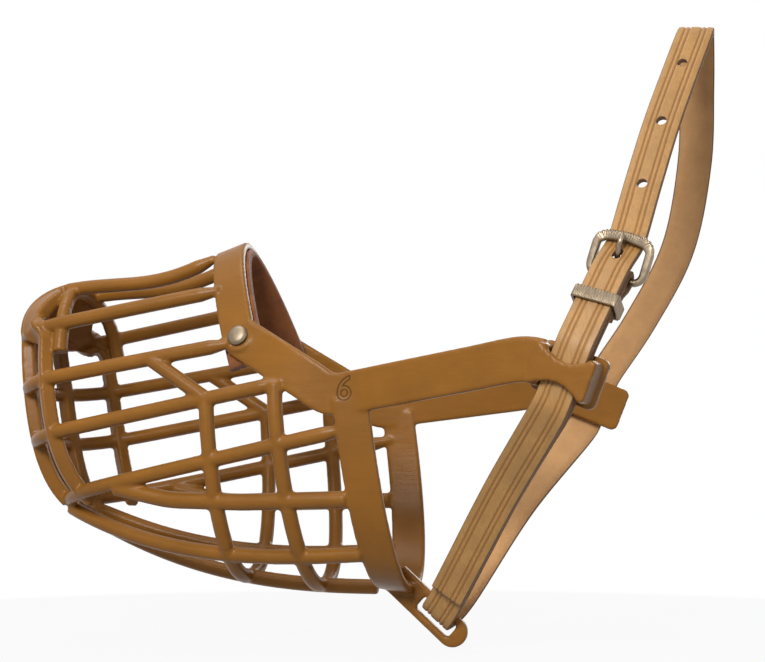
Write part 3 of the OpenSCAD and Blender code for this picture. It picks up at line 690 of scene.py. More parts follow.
def cheek_arm():
    """From the rivet down and back to the arm's root, then out along the arm to the strap loop."""
    rivet = band_row(RIVET_TURN)[0]
    rows = []
    for t in (0, 0, 0.25, 0.5, 0.75, 1):
        x, z = mix(rivet[0], -13, t), mix(rivet[2], 2.5, t)
        y = mix(rivet[1], skin(x, z)[1], clamp(2 * t))
        rows.append((vec(x, y, z), vec(0.5, 0, 0.86) if t < 1 else vec(0.33, 0, 0.94)))
    for x in (-4, 6, 20, 36, ARM_L - 14):
        run = x - ARM_ROOT[0]
        rows.append((ARM_ROOT + vec(run, -run * math.tan(ARM_SPLAY), ARM_RISE * run), vec(-0.13, 0, 1)))
    for reach in (8.3, 4):
        rows.append((LOOP_C - reach * LOOP_W + 0.8 * LOOP_S, LOOP_S))
    return strip("arm", smooth_rows(rows, 1, len(rows) - 2), ARM_W, BAND_T, 0.8)


def prism(name, outline, place, low, high):
    """An outline of (u, v) pushed from low to high; place turns (u, v, depth) into a point."""
    return tube(name, [[place(u, v, depth) for u, v in outline] for depth in (low, high)])


PLATE_L, PLATE_H, PLATE_T = 22.0, 16.0, 2.6
BRIDGE_L, BRIDGE_H, WAIST = 20.0, 13.2, 6.4
LOOP_SLOT = 2 * STRAP_T + 2 * GAP + LAYER_GAP


def bow_tie():
    """The waisted outline of the bridge over the strap."""
    corner, half = 1.3, BRIDGE_L / 2
    outline = []
    for sx, sz in ((1, 1), (-1, 1), (-1, -1), (1, -1)):
        arc = [(sx * (half - corner + corner * math.cos(a)),
                sz * (BRIDGE_H / 2 - corner + corner * math.sin(a))) for a in turns(0, 75, 6)]
        curve = []
        for t in np.linspace(0.12, 0.5, 9):
            u = mix(half - corner, -(half - corner), t)
            curve.append((sx * u, sz * (WAIST / 2 + (BRIDGE_H - WAIST) / 2 * abs(2 * t - 1) ** 1.9)))
        points = arc + curve
        outline += points if sx * sz > 0 else points[::-1]
    return outline


def strap_loop():
    def place(u, v, depth):
        return LOOP_C + LOOP_W * u + LOOP_S * v + LOOP_V * depth
    inner, outer = LOOP_SLOT / 2, -LOOP_SLOT / 2
    plate = prism("plate", rounded_rect(PLATE_L, PLATE_H, 2.2), place, inner, inner + PLATE_T)
    bridge = prism("bridge", bow_tie(), place, outer - 2.6, outer)
    posts = []
    post = (BRIDGE_L - STRAP_W) / 2 - 2 * GAP
    for s in (-1, 1):
        outline = rounded_rect(post, BRIDGE_H, 1.2) + vec(s * (BRIDGE_L - post) / 2, 0)[:2]
        posts.append(prism("post", outline, place, outer - 1, inner + 1))
    return [plate, bridge, *posts]


def chin_tab():
    """A flat tab under the rim, with the slot that the strap passes through."""
    start, w = vec(4.8, 0, -BELLY_H - RIM_DEEP), TAB_W
    up = unit(np.cross(vec(0, 1, 0), w))

    def place(u, v, depth):
        return start + w * u + up * v + vec(0, 1, 0) * depth
    half, length, thick = 5.2, 27.0, 3.2
    outline = [(-half, half), (-half, -half)]
    for a in np.linspace(-math.pi / 2, math.pi / 2, 25):
        outline.append((length - half + half * math.cos(a), half * math.sin(a)))
    tab = prism("tab", outline, place, -thick / 2, thick / 2)
    slot = rounded_rect(STRAP_W + 3, STRAP_T + 3, 1.0) + vec(CHIN_SLOT, 0, 0)[:2]
    return cut(tab, [prism("slot", slot, place, -5, 5)])


def mirrored(piece):
    """The same piece on the dog's other side."""
    mesh = piece.data.copy()
    mesh.transform(Matrix.Diagonal((1, -1, 1, 1)))
    mesh.flip_normals()
    return add_object(piece.name, mesh)


# ---------- shaders ----------

class Value:
    """A number that varies over a surface. Arithmetic on it adds Math nodes."""

    def __init__(self, shader, socket):
        self.shader, self.socket = shader, socket

    def math(self, operation, *others):
        return self.shader.node("ShaderNodeMath", {"operation": operation}, dict(enumerate((self,) + others)))

    def __add__(self, other): return self.math("ADD", other)
    def __sub__(self, other): return self.math("SUBTRACT", other)
    def __mul__(self, other): return self.math("MULTIPLY", other)
    def __pow__(self, other): return self.math("POWER", other)
    def __abs__(self): return self.math("ABSOLUTE")
    def __lt__(self, other): return self.math("LESS_THAN", other)
    def __radd__(self, other): return self + other
    def __rmul__(self, other): return self * other
    def __rsub__(self, other): return self.shader.number(other).math("SUBTRACT", self)

    def low(self, other): return self.math("MINIMUM", other)
    def high(self, other): return self.math("MAXIMUM", other)

    def between(self, low, high):
        """0 below low, 1 above high, and smooth between."""
        return self.shader.node("ShaderNodeMapRange", {"interpolation_type": "SMOOTHSTEP"},
                                {"Value": self, "From Min": low, "From Max": high})


class Nodes:
    """The node tree of a material or world. Every node that is added comes from node()."""

    def __init__(self, owner):
        owner.use_nodes = True
        self.tree = owner.node_tree

    def link(self, socket, value):
        if isinstance(value, Value):
            self.tree.links.new(value.socket, socket)
        else:
            socket.default_value = value

    def node(self, kind, settings=None, inputs=None, output=0):
        node = self.tree.nodes.new(kind)
        for key, value in (settings or {}).items():
            setattr(node, key, value)
        for key, value in (inputs or {}).items():
            self.link(node.inputs[key], value)
        return Value(self, node.outputs[output])

    def number(self, value):
        return self.node("ShaderNodeMath", {"operation": "ADD"}, {0: float(value), 1: 0.0})

    def background_rays(self):
        """1 for camera, glossy and transmission rays, which see the white background."""
        camera, glossy, through = (self.node("ShaderNodeLightPath", output=f"Is {kind} Ray")
                                   for kind in ("Camera", "Glossy", "Transmission"))
        return camera.high(glossy).high(through)

    def blend_to(self, output, share, under, over):
        """Mixes two shaders by share and links them to the output node of this name."""
        blend = self.node("ShaderNodeMixShader", inputs={0: share, 1: under, 2: over})
        self.link(self.tree.nodes[output].inputs["Surface"], blend)


class Shader(Nodes):
    """A material's node tree, with one Principled surface."""

    def __init__(self, name, **sockets):
        self.material = bpy.data.materials.new(name)
        super().__init__(self.material)
        self.surface = self.tree.nodes["Principled BSDF"]
        for socket, value in sockets.items():
            self.surface.inputs[socket.replace("_", " ")].default_value = value

    def colour_mix(self, share, low, high):
        """From one colour to another by share, from 0 to 1."""
        return self.node("ShaderNodeMix", {"data_type": "RGBA"}, {0: share, 6: low, 7: high}, output=2)

    def position(self, stretch=(1, 1, 1)):
        """Object coordinates in millimetres."""
        place = self.node("ShaderNodeTexCoord", output=3)
        return self.node("ShaderNodeVectorMath", {"operation": "MULTIPLY"},
                         {0: place, 1: tuple(k / MM for k in stretch)})

    def dot(self, place, direction):
        return self.node("ShaderNodeVectorMath", {"operation": "DOT_PRODUCT"},
                         {0: place, 1: direction}, output=1)

    def noise(self, place, size, detail=3.0, rough=0.55):
        """Cloudy noise from 0 to 1, its patches about size millimetres across."""
        return self.node("ShaderNodeTexNoise", inputs={"Vector": place, "Scale": 1 / size, "Detail": detail,
                                                       "Roughness": rough})

    def cells(self, place, size):
        return self.node("ShaderNodeTexVoronoi", inputs={"Vector": place, "Scale": 1 / size})

    def attribute(self, name):
        return self.node("ShaderNodeAttribute", {"attribute_name": name}, output=2)

    def bump(self, height, strength):
        """A relief whose height is in millimetres."""
        normal = self.node("ShaderNodeBump", inputs={"Height": height, "Distance": MM, "Strength": strength})
        self.link(self.surface.inputs["Normal"], normal)

    def finish(self, tone, roughness):
        self.link(self.surface.inputs["Base Color"], tone)
        self.link(self.surface.inputs["Roughness"], roughness)
        return self.material


# ---------- materials ----------

def colour(rgb):
    return (*rgb, 1.0)


def darker(rgb, share):
    return tinted(rgb, (share, share, share))


def tinted(rgb, shares):
    """The colour with each channel multiplied by its own share."""
    return colour([k * share for k, share in zip(rgb, shares)])


def numeral_mask(s, place):
    """An outlined figure 6 on the root of the left arm: 1 in its engraved lines, which the plastic cuts in
    with its bump and darkens with painted shade.
    """
    settings = bpy.context.scene.muzzle_basket
    cx, cz = settings.numeral_x / MM, settings.numeral_z / MM
    x = s.dot(place, (1, 0, 0)) - cx
    z = s.dot(place, (0, 0, 1)) - cz
    bowl_r, stem_r, half_stroke, line = 1.75, 5.2, 0.62, 0.2
    bowl_z = z + 1.7
    bowl = abs((x * x + bowl_z * bowl_z) ** 0.5 - bowl_r)
    stem_x = x - (stem_r - bowl_r)
    stem = abs((stem_x * stem_x + bowl_z * bowl_z) ** 0.5 - stem_r)
    stem = stem.high(x - 1.3).high(-1 * bowl_z)
    edge = abs(bowl.low(stem) - half_stroke)
    on_side = s.dot(place, (0, 1, 0)) < -REAR_HALF + 4
    return (1 - edge.between(line * 0.5, line * 1.5)) * on_side * (abs(x) < 6) * (abs(z) < 6)


def moulded_plastic():
    """Ochre plastic: satin, with faint flow marks, soft mottling and worn high edges, and a size figure whose
    engraved lines are darkened with painted shade.
    """
    base = bpy.context.scene.muzzle_basket.colour
    s = Shader("moulded_plastic", Roughness=0.34, IOR=1.46, Specular_IOR_Level=0.22)
    place = s.position()
    clouds = s.noise(place, 22, 3)
    flow = s.noise(s.position((0.12, 1, 1)), 2.2, 4)
    fine = s.noise(place, 0.55, 2)
    tone = s.colour_mix(clouds.between(0.3, 0.75), darker(base, 0.90), darker(base, 1.08))
    tone = s.colour_mix(flow.between(0.35, 0.75) * 0.22, tone, darker(base, 0.74))
    worn = s.node("ShaderNodeNewGeometry", output=7).between(0.52, 0.60)
    tone = s.colour_mix(worn * 0.30, tone, tinted(base, (1.35, 1.45, 1.9)))
    groove_and_painted_shade = numeral_mask(s, place)
    # painted shade: the figure's engraved lines are darkened as if their groove were in shadow; the bump
    # below cuts the groove itself
    tone = s.colour_mix(groove_and_painted_shade * 0.75, tone, darker(base, 0.22))
    s.bump(fine * 0.05 + flow * 0.10 + clouds * 0.25 - groove_and_painted_shade * 0.30, 0.8)
    return s.finish(tone, 0.24 + clouds * 0.14 + fine * 0.06)


def strap_grain():
    """The strap's smooth side: waxed tan leather with burnished grooves."""
    base = bpy.context.scene.muzzle_strap.colour
    s = Shader("strap_grain", Roughness=0.45, IOR=1.45, Coat_Weight=0.08, Coat_Roughness=0.3)
    place = s.position()
    groove = s.attribute("groove")
    clouds = s.noise(place, 9, 4)
    pores = s.cells(place, 0.55)
    streak = s.noise(s.position((1.6, 1.2, 0.10)), 0.9, 4, 0.62)
    tone = s.colour_mix(clouds.between(0.3, 0.72), darker(base, 0.90), darker(base, 1.10))
    tone = s.colour_mix(streak.between(0.42, 0.66) * 0.42, tone, darker(base, 0.70))
    tone = s.colour_mix(groove.between(0.15, 0.85) * 0.72, tone, tinted(base, (0.62, 0.47, 0.28)))
    s.bump(pores * 0.05 + streak * 0.05 + clouds * 0.12, 0.8)
    return s.finish(tone, 0.40 + clouds * 0.18)


def strap_flesh():
    """The strap's inner side: paler, with a short nap."""
    base = bpy.context.scene.muzzle_strap.flesh_colour
    s = Shader("strap_flesh", Roughness=0.85, Sheen_Weight=0.25, Sheen_Roughness=0.5)
    place = s.position()
    clouds = s.noise(place, 7, 5, 0.65)
    nap = s.noise(place, 0.35, 4, 0.7)
    tone = s.colour_mix(clouds.between(0.25, 0.78), darker(base, 0.90), darker(base, 1.08))
    tone = s.colour_mix(nap.between(0.45, 0.75) * 0.3, tone, darker(base, 0.68))
    s.bump(nap * 0.12 + clouds * 0.10, 0.9)
    return s.finish(tone, 0.78 + nap * 0.15)


def strap_edge():
    """The strap's cut edges, darker and fibrous."""
    base = bpy.context.scene.muzzle_strap.edge_colour
    s = Shader("strap_edge", Roughness=0.7)
    place = s.position()
    fibres = s.noise(place, 0.5, 4, 0.7)
    tone = s.colour_mix(fibres.between(0.3, 0.7), darker(base, 0.75), darker(base, 1.25))
    s.bump(fibres * 0.10, 0.9)
    return s.finish(tone, 0.62 + fibres * 0.2)


def pad_suede():
    """Reddish brown split leather."""
    base = bpy.context.scene.muzzle_strap.pad_colour
    s = Shader("pad_suede", Roughness=0.88, Sheen_Weight=0.3, Sheen_Roughness=0.45)
    place = s.position()
    clouds = s.noise(place, 6, 5, 0.65)
    nap = s.noise(place, 0.45, 4, 0.72)
    tone = s.colour_mix(clouds.between(0.3, 0.72), darker(base, 0.72), darker(base, 1.2))
    tone = s.colour_mix(nap.between(0.5, 0.8) * 0.35, tone, darker(base, 1.5))
    s.bump(nap * 0.22 + clouds * 0.15, 0.9)
    return s.finish(tone, 0.8 + nap * 0.15)


def old_nickel(name="old_nickel", tint=1.0, dull=0.22):
    """Plated steel, dulled and browned in its recesses."""
    base = [k * tint for k in bpy.context.scene.muzzle_hardware.colour]
    s = Shader(name, Metallic=1.0, Roughness=0.32)
    place = s.position()
    clouds = s.noise(place, 2.2, 4, 0.6)
    scratch = s.noise(s.position((1, 0.15, 1)), 0.35, 3)
    hollow = s.node("ShaderNodeNewGeometry", output=7).between(0.40, 0.52)
    tone = s.colour_mix(clouds.between(0.3, 0.75), darker(base, 0.80), darker(base, 1.10))
    tone = s.colour_mix((1 - hollow) * 0.8, tone, tinted(base, (0.30, 0.24, 0.18)))
    s.bump(scratch * 0.012 + clouds * 0.03, 0.7)
    return s.finish(tone, dull + clouds * 0.22)


# ---------- pieces ----------

def moulded_basket():
    """One continuous moulding: bars, bands, rim, arms and loops fused together."""
    settings = bpy.context.scene.muzzle_basket
    singles = [rod("bar", side_bar(k), BAR_D, 0.6, 0.6) for k in range(4)]
    singles += [rod("hoop", hoop(k), BAR_D) for k in range(2)]
    singles += [rod("keel", keel(), BAR_D), rod("crown", crown_hoop(), BAR_D)]
    singles += [upright(k) for k in range(UPRIGHTS)]
    singles += [nose_band(), rear_rim(), chin_tab()]
    pairs = [rod("low_side", low_side_bar(), LOW_BAR_D), rod("diagonal", diagonal(), BAR_D)]
    pairs += [rod("low", low_bar(), BAR_D), rod("top", top_bar(), BAR_D, 1.0, 0.55)]
    pairs += [cheek_arm(), rivet_seat(), *strap_loop()]
    piece = join("basket", singles + pairs + [mirrored(part) for part in pairs])
    tool = piece.modifiers.new("fuse", "REMESH")
    tool.mode = "VOXEL"
    tool.voxel_size = settings.voxel
    apply_modifiers(piece)
    taubin(piece.data, settings.smoothing)
    piece.data.shade_smooth()
    return piece


def strap_profile():
    """The strap's cross-section, the grooves' depth at each point, and each side's material slot."""
    half, top, crown = STRAP_W / 2, STRAP_T / 2, 0.22
    groove_at, groove_w, groove_deep = (1.95, 3.45), 0.30, 0.38
    x = np.linspace(half - 0.35, -half + 0.35, 61)
    groove = sum(np.exp(-((np.abs(x) - at) / groove_w) ** 2) for at in groove_at)
    upper = np.stack([x, top - crown * (np.abs(x) / half) ** 5 - groove_deep * groove], 1)
    side = [(-half, top - 0.75), (-half, -top + 0.55)]
    lower = [(-half + 0.4, -top), (-half / 2, -top), (0, -top), (half / 2, -top), (half - 0.4, -top)]
    other = [(half, -top + 0.55), (half, top - 0.75)]
    points = np.concatenate([upper, side, lower, other])
    depth = np.r_[groove, np.zeros(len(points) - len(groove))]
    slots = [0] * (len(x) - 1) + [2] * 3 + [1] * 4 + [2] * 3
    return points, depth, slots


def strap_cutters():
    """Round holes in the tail, the prong's oval hole and its slot in the fold."""
    cutters = []
    for centre in HOLES:
        cutters.append(lathe("hole", [(HOLE_D / 2, -6), (HOLE_D / 2, 6)], centre, vec(0.25, 0.93, -0.28), 24))
    oval = []
    for a in circle(28):
        shift = PRONG_HOLE_HALF if math.sin(a) > 0 else -PRONG_HOLE_HALF
        oval.append((PRONG_HOLE_R * math.cos(a), shift + PRONG_HOLE_R * math.sin(a)))

    def through_tail(u, v, y):
        return on_stretch(y, HEEL_Z + 6.35 - 0.6 * (y + 1) + v) + STRETCH_W * u

    def through_fold(u, v, y):
        return on_stretch(y, HEEL_Z + v) + STRETCH_W * u

    cutters.append(prism("prong_hole", oval, through_tail, -5, 2.6))
    slot = [(-FOLD_SLOT_HALF, -3), (FOLD_SLOT_HALF, -3), (FOLD_SLOT_HALF, 6), (-FOLD_SLOT_HALF, 6)]
    cutters.append(prism("fold_slot", slot, through_fold, HEEL_Y - 3.9, HEEL_Y + 6))
    return cutters


def leather_strap():
    """The whole strap as one band: fold, left side, chin loop, right side, top and tail."""
    step = 0.8
    rows = inner_layer()[::-1] + far_side() + outer_layer()
    table, along = resample(rows, step)
    fold_reach, fold_rows_end = 8, 50
    near_fold = (np.linalg.norm(table[:, :3] - HEEL, axis=1) < fold_reach) & (along < fold_rows_end)
    table = ease(table, 2.0 / step, near_fold.astype(float)[:, None])
    profile, depth, slots = strap_profile()
    piece = sweep("strap", table, profile)
    mesh = piece.data
    n = len(table)
    values = mesh.attributes.new("groove", "FLOAT", "POINT")
    values.data.foreach_set("value", np.tile(depth, n).astype(np.float32))
    for material in (strap_grain(), strap_flesh(), strap_edge()):
        mesh.materials.append(material)
    index = np.r_[np.tile(slots, n - 1), [2, 2]]
    mesh.polygons.foreach_set("material_index", index.astype(np.int32))
    cutters = strap_cutters()
    for cutter in cutters:
        cutter.data.materials.append(mesh.materials[2])
    cut(piece, cutters)
    piece.data.shade_smooth()
    return piece


PAD_W, PAD_T, PAD_TURN = 13.6, 3.0, 73
PAD_X, PAD_HALF = -59.0, 31.78


def pad_route():
    """The nose pad's middle line, just inside the nose band."""
    rows = [band_row(a, PAD_X, PAD_HALF) for a in turns(PAD_TURN, -PAD_TURN, 73)]
    return offset(rows, -(BAND_T / 2 + GAP + PAD_T / 2))


def leather_pad():
    table, _ = resample(pad_route(), 1.0)
    return sweep("nose_pad_leather", table, rounded_rect(PAD_W, PAD_T, 0.9))


def rivet_cap(name, side):
    low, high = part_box("left_rivet_cap" if side < 0 else "right_rivet_cap")
    centre = np.array((low + high) / 2) / MM
    low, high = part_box("left_rivet_post" if side < 0 else "right_rivet_post")
    post = np.array((low + high) / 2) / MM
    axis = unit(centre - post)
    r, h = 3.7, 1.45
    outline = [(r - 0.5, -0.9), (r, -0.75), (r + 0.05, -0.45), (r - 0.15, -0.15)]
    for a in turns(8, 88, 10):
        outline.append(((r - 0.3) * math.cos(a), -0.1 + h * 0.72 * math.sin(a)))
    return lathe(name, outline, centre, axis)


BUCKLE_HALF, BUCKLE_SHIFT = 8.8, 0.6
BUCKLE_RIDGES, KEEPER_RIDGES = 0.78, 0.95


def buckle_loop():
    """The buckle frame's middle line: a rounded rectangle with a bulging front bar."""
    half, low_r, high_r, bulge = BUCKLE_HALF, 3.0, 2.6, 1.4
    front = [(u, BUCKLE_L) for u in np.linspace(half - high_r, high_r - half, 11)[1:-1]]
    heel = [(u, 0.0) for u in np.linspace(low_r - half, half - low_r, 9)[1:-1]]
    left, right = ([(side * half, z) for z in (7.5, 5.7, 4.0)[::-side]] for side in (-1, 1))
    flat = []
    for cx, cz, r, start, straight in (
            (1, high_r, high_r, 0, front), (-1, high_r, high_r, 90, left),
            (-1, BUCKLE_L - low_r, low_r, 180, heel), (1, BUCKLE_L - low_r, low_r, 270, right)):
        for a in turns(start, start + 90, 7):
            flat.append((cx * (half - r) + r * math.cos(a), BUCKLE_L - cz + r * math.sin(a)))
        flat += straight
    rows = []
    for u, z in flat:
        t = clamp(z / BUCKLE_L)
        high = z + bulge * t ** 6 * (1 - (u / half) ** 2)
        rows.append(on_stretch(mix(HEEL_Y, FRONT_Y, t), HEEL_Z + high) + STRETCH_W * (u + BUCKLE_SHIFT))
    return rows


def closed_curve(points, per):
    """A smooth closed curve through points, evenly spaced."""
    n = len(points)
    dense = []
    for i in range(n):
        ring = [points[(i + k) % n] for k in (-1, 0, 1, 2)]
        dense += [curve_point(ring, 1, j / 8) for j in range(8)]
    dense = np.array(dense + dense[:1])
    at = distances(dense)
    even = np.linspace(0, at[-1], per, endpoint=False)
    return rows_at(dense, at, even), even


def buckle():
    points, _ = closed_curve(buckle_loop(), 620)
    slope = on_stretch(FRONT_Y, FRONT_Z) - HEEL
    table = facing(points, unit(np.cross(STRETCH_W, slope)))
    from_heel = points - on_stretch(0, HEEL_Z)
    height = from_heel @ STRETCH_S / BUCKLE_L
    side = from_heel @ STRETCH_W - BUCKLE_SHIFT
    out_sign = 1.0 if frames_along(table, True)[2][np.argmax(height)] @ STRETCH_S > 0 else -1.0

    def profile(i):
        t = clamp(height[i])
        bar = clamp((t - 0.86) * 9)
        low = min(t * 3, 1)
        wide, thick = mix(mix(1.2, 1.3, low), 1.65, bar), mix(1.2, 1.15, low)
        shape = rounded_rect(2 * thick, 2 * wide, mix(1.15, 0.72, low), 5)
        ridged = bar * (1 - clamp((abs(side[i]) - 7.6) / 0.6))
        ridge = 0.5 - 0.5 * math.cos(side[i] * 2 * math.pi / BUCKLE_RIDGES)
        outer = np.clip(shape[:, 1] * out_sign / 0.5, 0, 1)
        return shape * (1 - 0.20 * ridged * ridge * outer)[:, None]

    return sweep("buckle", table, profile, closed=True)


def prong():
    tip_y = FRONT_Y - FRONT_D / 2 - 0.85
    path = [(HEEL_Y - 0.6, HEEL_Z + 1.7), (HEEL_Y - 1.3, HEEL_Z + 3.0), (HEEL_Y - 2.9, HEEL_Z + 5.0),
            (HEEL_Y - 5.1, HEEL_Z + 6.8), (tip_y + 0.25, FRONT_Z - 2.0), (tip_y, FRONT_Z + 0.2),
            (tip_y + 0.1, FRONT_Z + 1.2)]
    points = np.array([on_stretch(y, z) for y, z in path])
    ends = np.concatenate([[2 * points[0] - points[1]], points, [2 * points[-1] - points[-2]]])
    line = [curve_point(ends, i, j / 10) for i in range(1, len(ends) - 2) for j in range(10)]
    table = facing(np.array(line + [points[-1]]), STRETCH_W)
    last = len(table) - 1

    def profile(i):
        t = i / last
        taper = mix(1.0, 0.82, t) * min(1, 0.35 + 6 * (1 - t)) * min(1, 0.6 + 4 * t)
        return ring_profile(0.95 * taper, 18, 0.85)

    shaft = sweep("prong_shaft", table, profile)
    eye_r = 1.72
    eye_line = [on_stretch(HEEL_Y - eye_r * math.cos(a), HEEL_Z + eye_r * math.sin(a)) for a in circle(48)]
    eye = sweep("prong_eye", facing(np.array(eye_line), STRETCH_W), rounded_rect(2.3, 0.85, 0.3), closed=True)
    return join("prong_metal", [shaft, eye])


def join(name, pieces):
    """One object from several, each part keeping its own faces."""
    shell = bmesh.new()
    for piece in pieces:
        shell.from_mesh(piece.data)
    mesh = bpy.data.meshes.new(name)
    shell.to_mesh(mesh)
    shell.free()
    mesh.shade_smooth()
    for piece in pieces:
        bpy.data.objects.remove(piece)
    return add_object(name, mesh)


def keeper_band():
    """The ridged metal loop below the buckle."""
    out, inner = -(LAYER_GAP / 2 + STRAP_T + GAP), LAYER_STEP * 1.5 + STRAP_T / 2 + GAP
    wall, half = 1.1, STRAP_W / 2 + GAP
    outline = rounded_rect(2 * half + wall, inner - out + wall, 1.1, 6)
    loop = [on_stretch((out + inner) / 2 + v, KEEPER_Z) + STRETCH_W * u for u, v in outline]
    points, along = closed_curve(loop, 560)
    table = facing(points, STRETCH_S)

    def profile(i):
        ridge = 0.5 + 0.5 * math.cos(along[i] * 2 * math.pi / KEEPER_RIDGES)
        shape = rounded_rect(4.2, wall, 0.42, 3)
        shape[:, 1] += np.where(shape[:, 1] > 0, 0.24 * (ridge - 0.5), 0)
        return shape

    return sweep("keeper_band", table, profile, closed=True)


def coat(piece, material):
    piece.data.materials.clear()
    piece.data.materials.append(material)
    return piece


# ---------- sizes and colours that a user would change ----------

class BasketSettings(bpy.types.PropertyGroup):
    voxel: bpy.props.FloatProperty(
        name="Detail", description="Grid size of the fused moulding", default=0.0006, unit="LENGTH")
    smoothing: bpy.props.IntProperty(
        name="Smoothing", description="Rounds of edge softening", default=8, min=0)
    colour: bpy.props.FloatVectorProperty(
        name="Plastic", description="Colour of the moulding", subtype="COLOR", default=(0.262, 0.106, 0.014))
    numeral_x: bpy.props.FloatProperty(
        name="Numeral X", description="Place of the size numeral along the arm", default=-0.0076,
        unit="LENGTH")
    numeral_z: bpy.props.FloatProperty(
        name="Numeral Z", description="Height of the size numeral", default=0.0043, unit="LENGTH")


class StrapSettings(bpy.types.PropertyGroup):
    colour: bpy.props.FloatVectorProperty(
        name="Grain", description="Colour of the smooth side", subtype="COLOR", default=(0.42, 0.22, 0.066))
    flesh_colour: bpy.props.FloatVectorProperty(
        name="Flesh", description="Colour of the inner side", subtype="COLOR", default=(0.58, 0.31, 0.125))
    edge_colour: bpy.props.FloatVectorProperty(
        name="Edge", description="Colour of the cut edges", subtype="COLOR", default=(0.17, 0.085, 0.038))
    pad_colour: bpy.props.FloatVectorProperty(
        name="Pad", description="Colour of the nose pad", subtype="COLOR", default=(0.22, 0.070, 0.016))


class HardwareSettings(bpy.types.PropertyGroup):
    colour: bpy.props.FloatVectorProperty(
        name="Nickel", description="Colour of the plated parts", subtype="COLOR", default=(0.27, 0.21, 0.145))


class StageSettings(bpy.types.PropertyGroup):
    floor_drop: bpy.props.FloatProperty(
        name="Floor drop", description="Gap between the lowest point and the floor", default=0.0004,
        unit="LENGTH")
    key_power: bpy.props.FloatProperty(name="Key", description="Power of the main lamp", default=7.0)
    fill: bpy.props.FloatProperty(name="Fill", description="Strength of the surrounding light", default=0.09)


# ---------- operators ----------

class MUZZLE_OT_basket(bpy.types.Operator):
    """Build the moulded basket"""
    bl_idname = "muzzle.basket"
    bl_label = "Basket"

    def execute(self, context):
        piece = coat(moulded_basket(), moulded_plastic())
        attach(piece, "muzzle")
        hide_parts(*MOULDING)
        return {"FINISHED"}


class MUZZLE_OT_strap(bpy.types.Operator):
    """Build the leather strap"""
    bl_idname = "muzzle.strap"
    bl_label = "Strap"

    def execute(self, context):
        piece = leather_strap()
        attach(piece, "muzzle")
        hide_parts("strap_under", "strap_far", "strap_tail")
        return {"FINISHED"}


class MUZZLE_OT_pad(bpy.types.Operator):
    """Build the leather nose pad"""
    bl_idname = "muzzle.pad"
    bl_label = "Nose pad"

    def execute(self, context):
        piece = coat(leather_pad(), pad_suede())
        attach(piece, "muzzle")
        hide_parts("nose_pad")
        return {"FINISHED"}


class MUZZLE_OT_rivets(bpy.types.Operator):
    """Build the domed rivet caps and finish their posts"""
    bl_idname = "muzzle.rivets"
    bl_label = "Rivets"

    def execute(self, context):
        metal = old_nickel("rivet_metal", 0.95, 0.36)
        for side, word in ((-1, "left"), (1, "right")):
            piece = coat(rivet_cap(word + "_rivet_dome", side), metal)
            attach(piece, "muzzle")
            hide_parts(word + "_rivet_cap")
            coat(frame["nodes"][word + "_rivet_post"], metal)
        return {"FINISHED"}


class MUZZLE_OT_buckle(bpy.types.Operator):
    """Build the buckle, its prong and the keeper"""
    bl_idname = "muzzle.buckle"
    bl_label = "Buckle"

    def execute(self, context):
        metal = old_nickel()
        for piece, body, node in ((buckle(), "buckle", "buckle_frame"), (prong(), "prong", "buckle_prong"),
                                  (keeper_band(), "keeper", "keeper")):
            coat(piece, metal)
            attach(piece, body)
            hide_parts(node)
        return {"FINISHED"}


class MUZZLE_OT_stage(bpy.types.Operator):
    """Set up the floor, lamps and camera"""
    bl_idname = "muzzle.stage"
    bl_label = "Stage"

    def execute(self, context):
        settings = context.scene.muzzle_stage
        floor_z = CAD_BOX[0][2] - settings.floor_drop
        build_floor(floor_z)
        build_world(settings.fill)
        key = settings.key_power
        add_lamp("key", (-0.10, -0.80, 0.42), 0.32, key)
        add_lamp("top", (-0.25, -0.15, 0.90), 0.45, key * 0.40)
        add_lamp("side", (0.85, -0.60, 0.15), 0.5, key * 0.16)
        add_lamp("back", (0.30, 0.95, 0.45), 0.6, key * 0.65)
        add_camera()
        context.scene.view_settings.view_transform = "Standard"
        return {"FINISHED"}


def build_floor(z):
    """A pale round floor that fades into the background."""
    n, radius = 96, 4.0
    turn = circle(n)
    points = np.stack([radius / MM * np.cos(turn), radius / MM * np.sin(turn), np.full(n, z / MM)], 1)
    floor = new_mesh("floor", points, [tuple(range(n))], smooth=False)
    s = Shader("floor_paper", Base_Color=colour((0.3, 0.3, 0.3)), Roughness=0.9)
    place = s.position()
    x, y = s.dot(place, (1, 0, 0)), s.dot(place, (0, 1, 0))
    fade_start, fade_end, least = 120, 330, 0.93
    far = ((x * x + y * y) ** 0.5).between(fade_start, fade_end)
    paper = Value(s, s.surface.outputs[0])
    s.blend_to("Material Output", far.high(least) * s.background_rays(), paper, s.node("ShaderNodeEmission"))
    floor.data.materials.append(s.material)


def build_world(fill):
    """White where the camera looks, softer as a light."""
    world = bpy.data.worlds.new("studio")
    s = Nodes(world)
    soft = s.tree.nodes["Background"]
    soft.inputs["Color"].default_value = colour((1, 1, 1))
    soft.inputs["Strength"].default_value = fill
    seen = s.node("ShaderNodeBackground", inputs={"Color": colour((1, 1, 1))})
    s.blend_to("World Output", s.background_rays(), Value(s, soft.outputs[0]), seen)
    bpy.context.scene.world = world


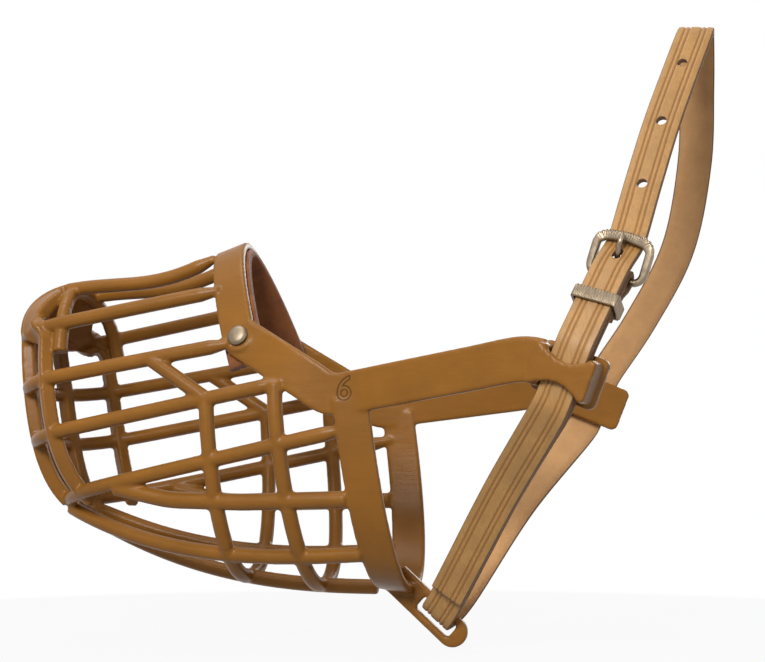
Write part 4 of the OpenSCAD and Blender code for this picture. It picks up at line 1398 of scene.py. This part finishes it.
def add_lamp(name, place, size, power):
    data = bpy.data.lights.new(name, "AREA")
    data.shape, data.size, data.energy = "DISK", size, power
    lamp = add_object(name, data)
    lamp.location = place
    lamp.rotation_euler = (Vector((0, 0, 0.02)) - Vector(place)).to_track_quat("-Z", "Y").to_euler()


def add_camera():
    """Low on the dog's left, looking slightly up and towards the nose."""
    yaw, pitch = math.radians(13.6), math.radians(7.71)
    look = Vector((-math.sin(yaw) * math.cos(pitch), math.cos(yaw) * math.cos(pitch), math.sin(pitch)))
    data = bpy.data.cameras.new("camera")
    data.sensor_width, data.lens = 36, 61.18
    camera = add_object("camera", data)
    camera.location = (0.104, -0.444, -0.0342)
    camera.rotation_euler = look.to_track_quat("-Z", "Y").to_euler()
    bpy.context.scene.camera = camera


class MUZZLE_PT_panel(bpy.types.Panel):
    """Buttons for each part of the muzzle"""
    bl_label = "Muzzle"
    bl_space_type = "VIEW_3D"
    bl_region_type = "UI"
    bl_category = "Muzzle"

    def draw(self, context):
        for name in GROUPS:
            settings = getattr(context.scene, name)
            for key in settings.__annotations__:
                self.layout.prop(settings, key)
        for operator in OPERATORS:
            self.layout.operator(operator.bl_idname)


GROUPS = {
    "muzzle_basket": BasketSettings,
    "muzzle_strap": StrapSettings,
    "muzzle_hardware": HardwareSettings,
    "muzzle_stage": StageSettings,
}
OPERATORS = (
    MUZZLE_OT_basket, MUZZLE_OT_strap, MUZZLE_OT_pad, MUZZLE_OT_rivets, MUZZLE_OT_buckle, MUZZLE_OT_stage,
)


def register():
    for cls in (*GROUPS.values(), *OPERATORS, MUZZLE_PT_panel):
        bpy.utils.register_class(cls)
    for name, cls in GROUPS.items():
        setattr(bpy.types.Scene, name, bpy.props.PointerProperty(type=cls))


def unregister():
    for name in GROUPS:
        delattr(bpy.types.Scene, name)
    for cls in (MUZZLE_PT_panel, *reversed(OPERATORS), *reversed(GROUPS.values())):
        bpy.utils.unregister_class(cls)


def main():
    register()
    bpy.ops.muzzle.basket()
    bpy.ops.muzzle.strap()
    bpy.ops.muzzle.pad()
    bpy.ops.muzzle.rivets()
    bpy.ops.muzzle.buckle()
    bpy.ops.muzzle.stage()


if __name__ == "__main__":
    main()
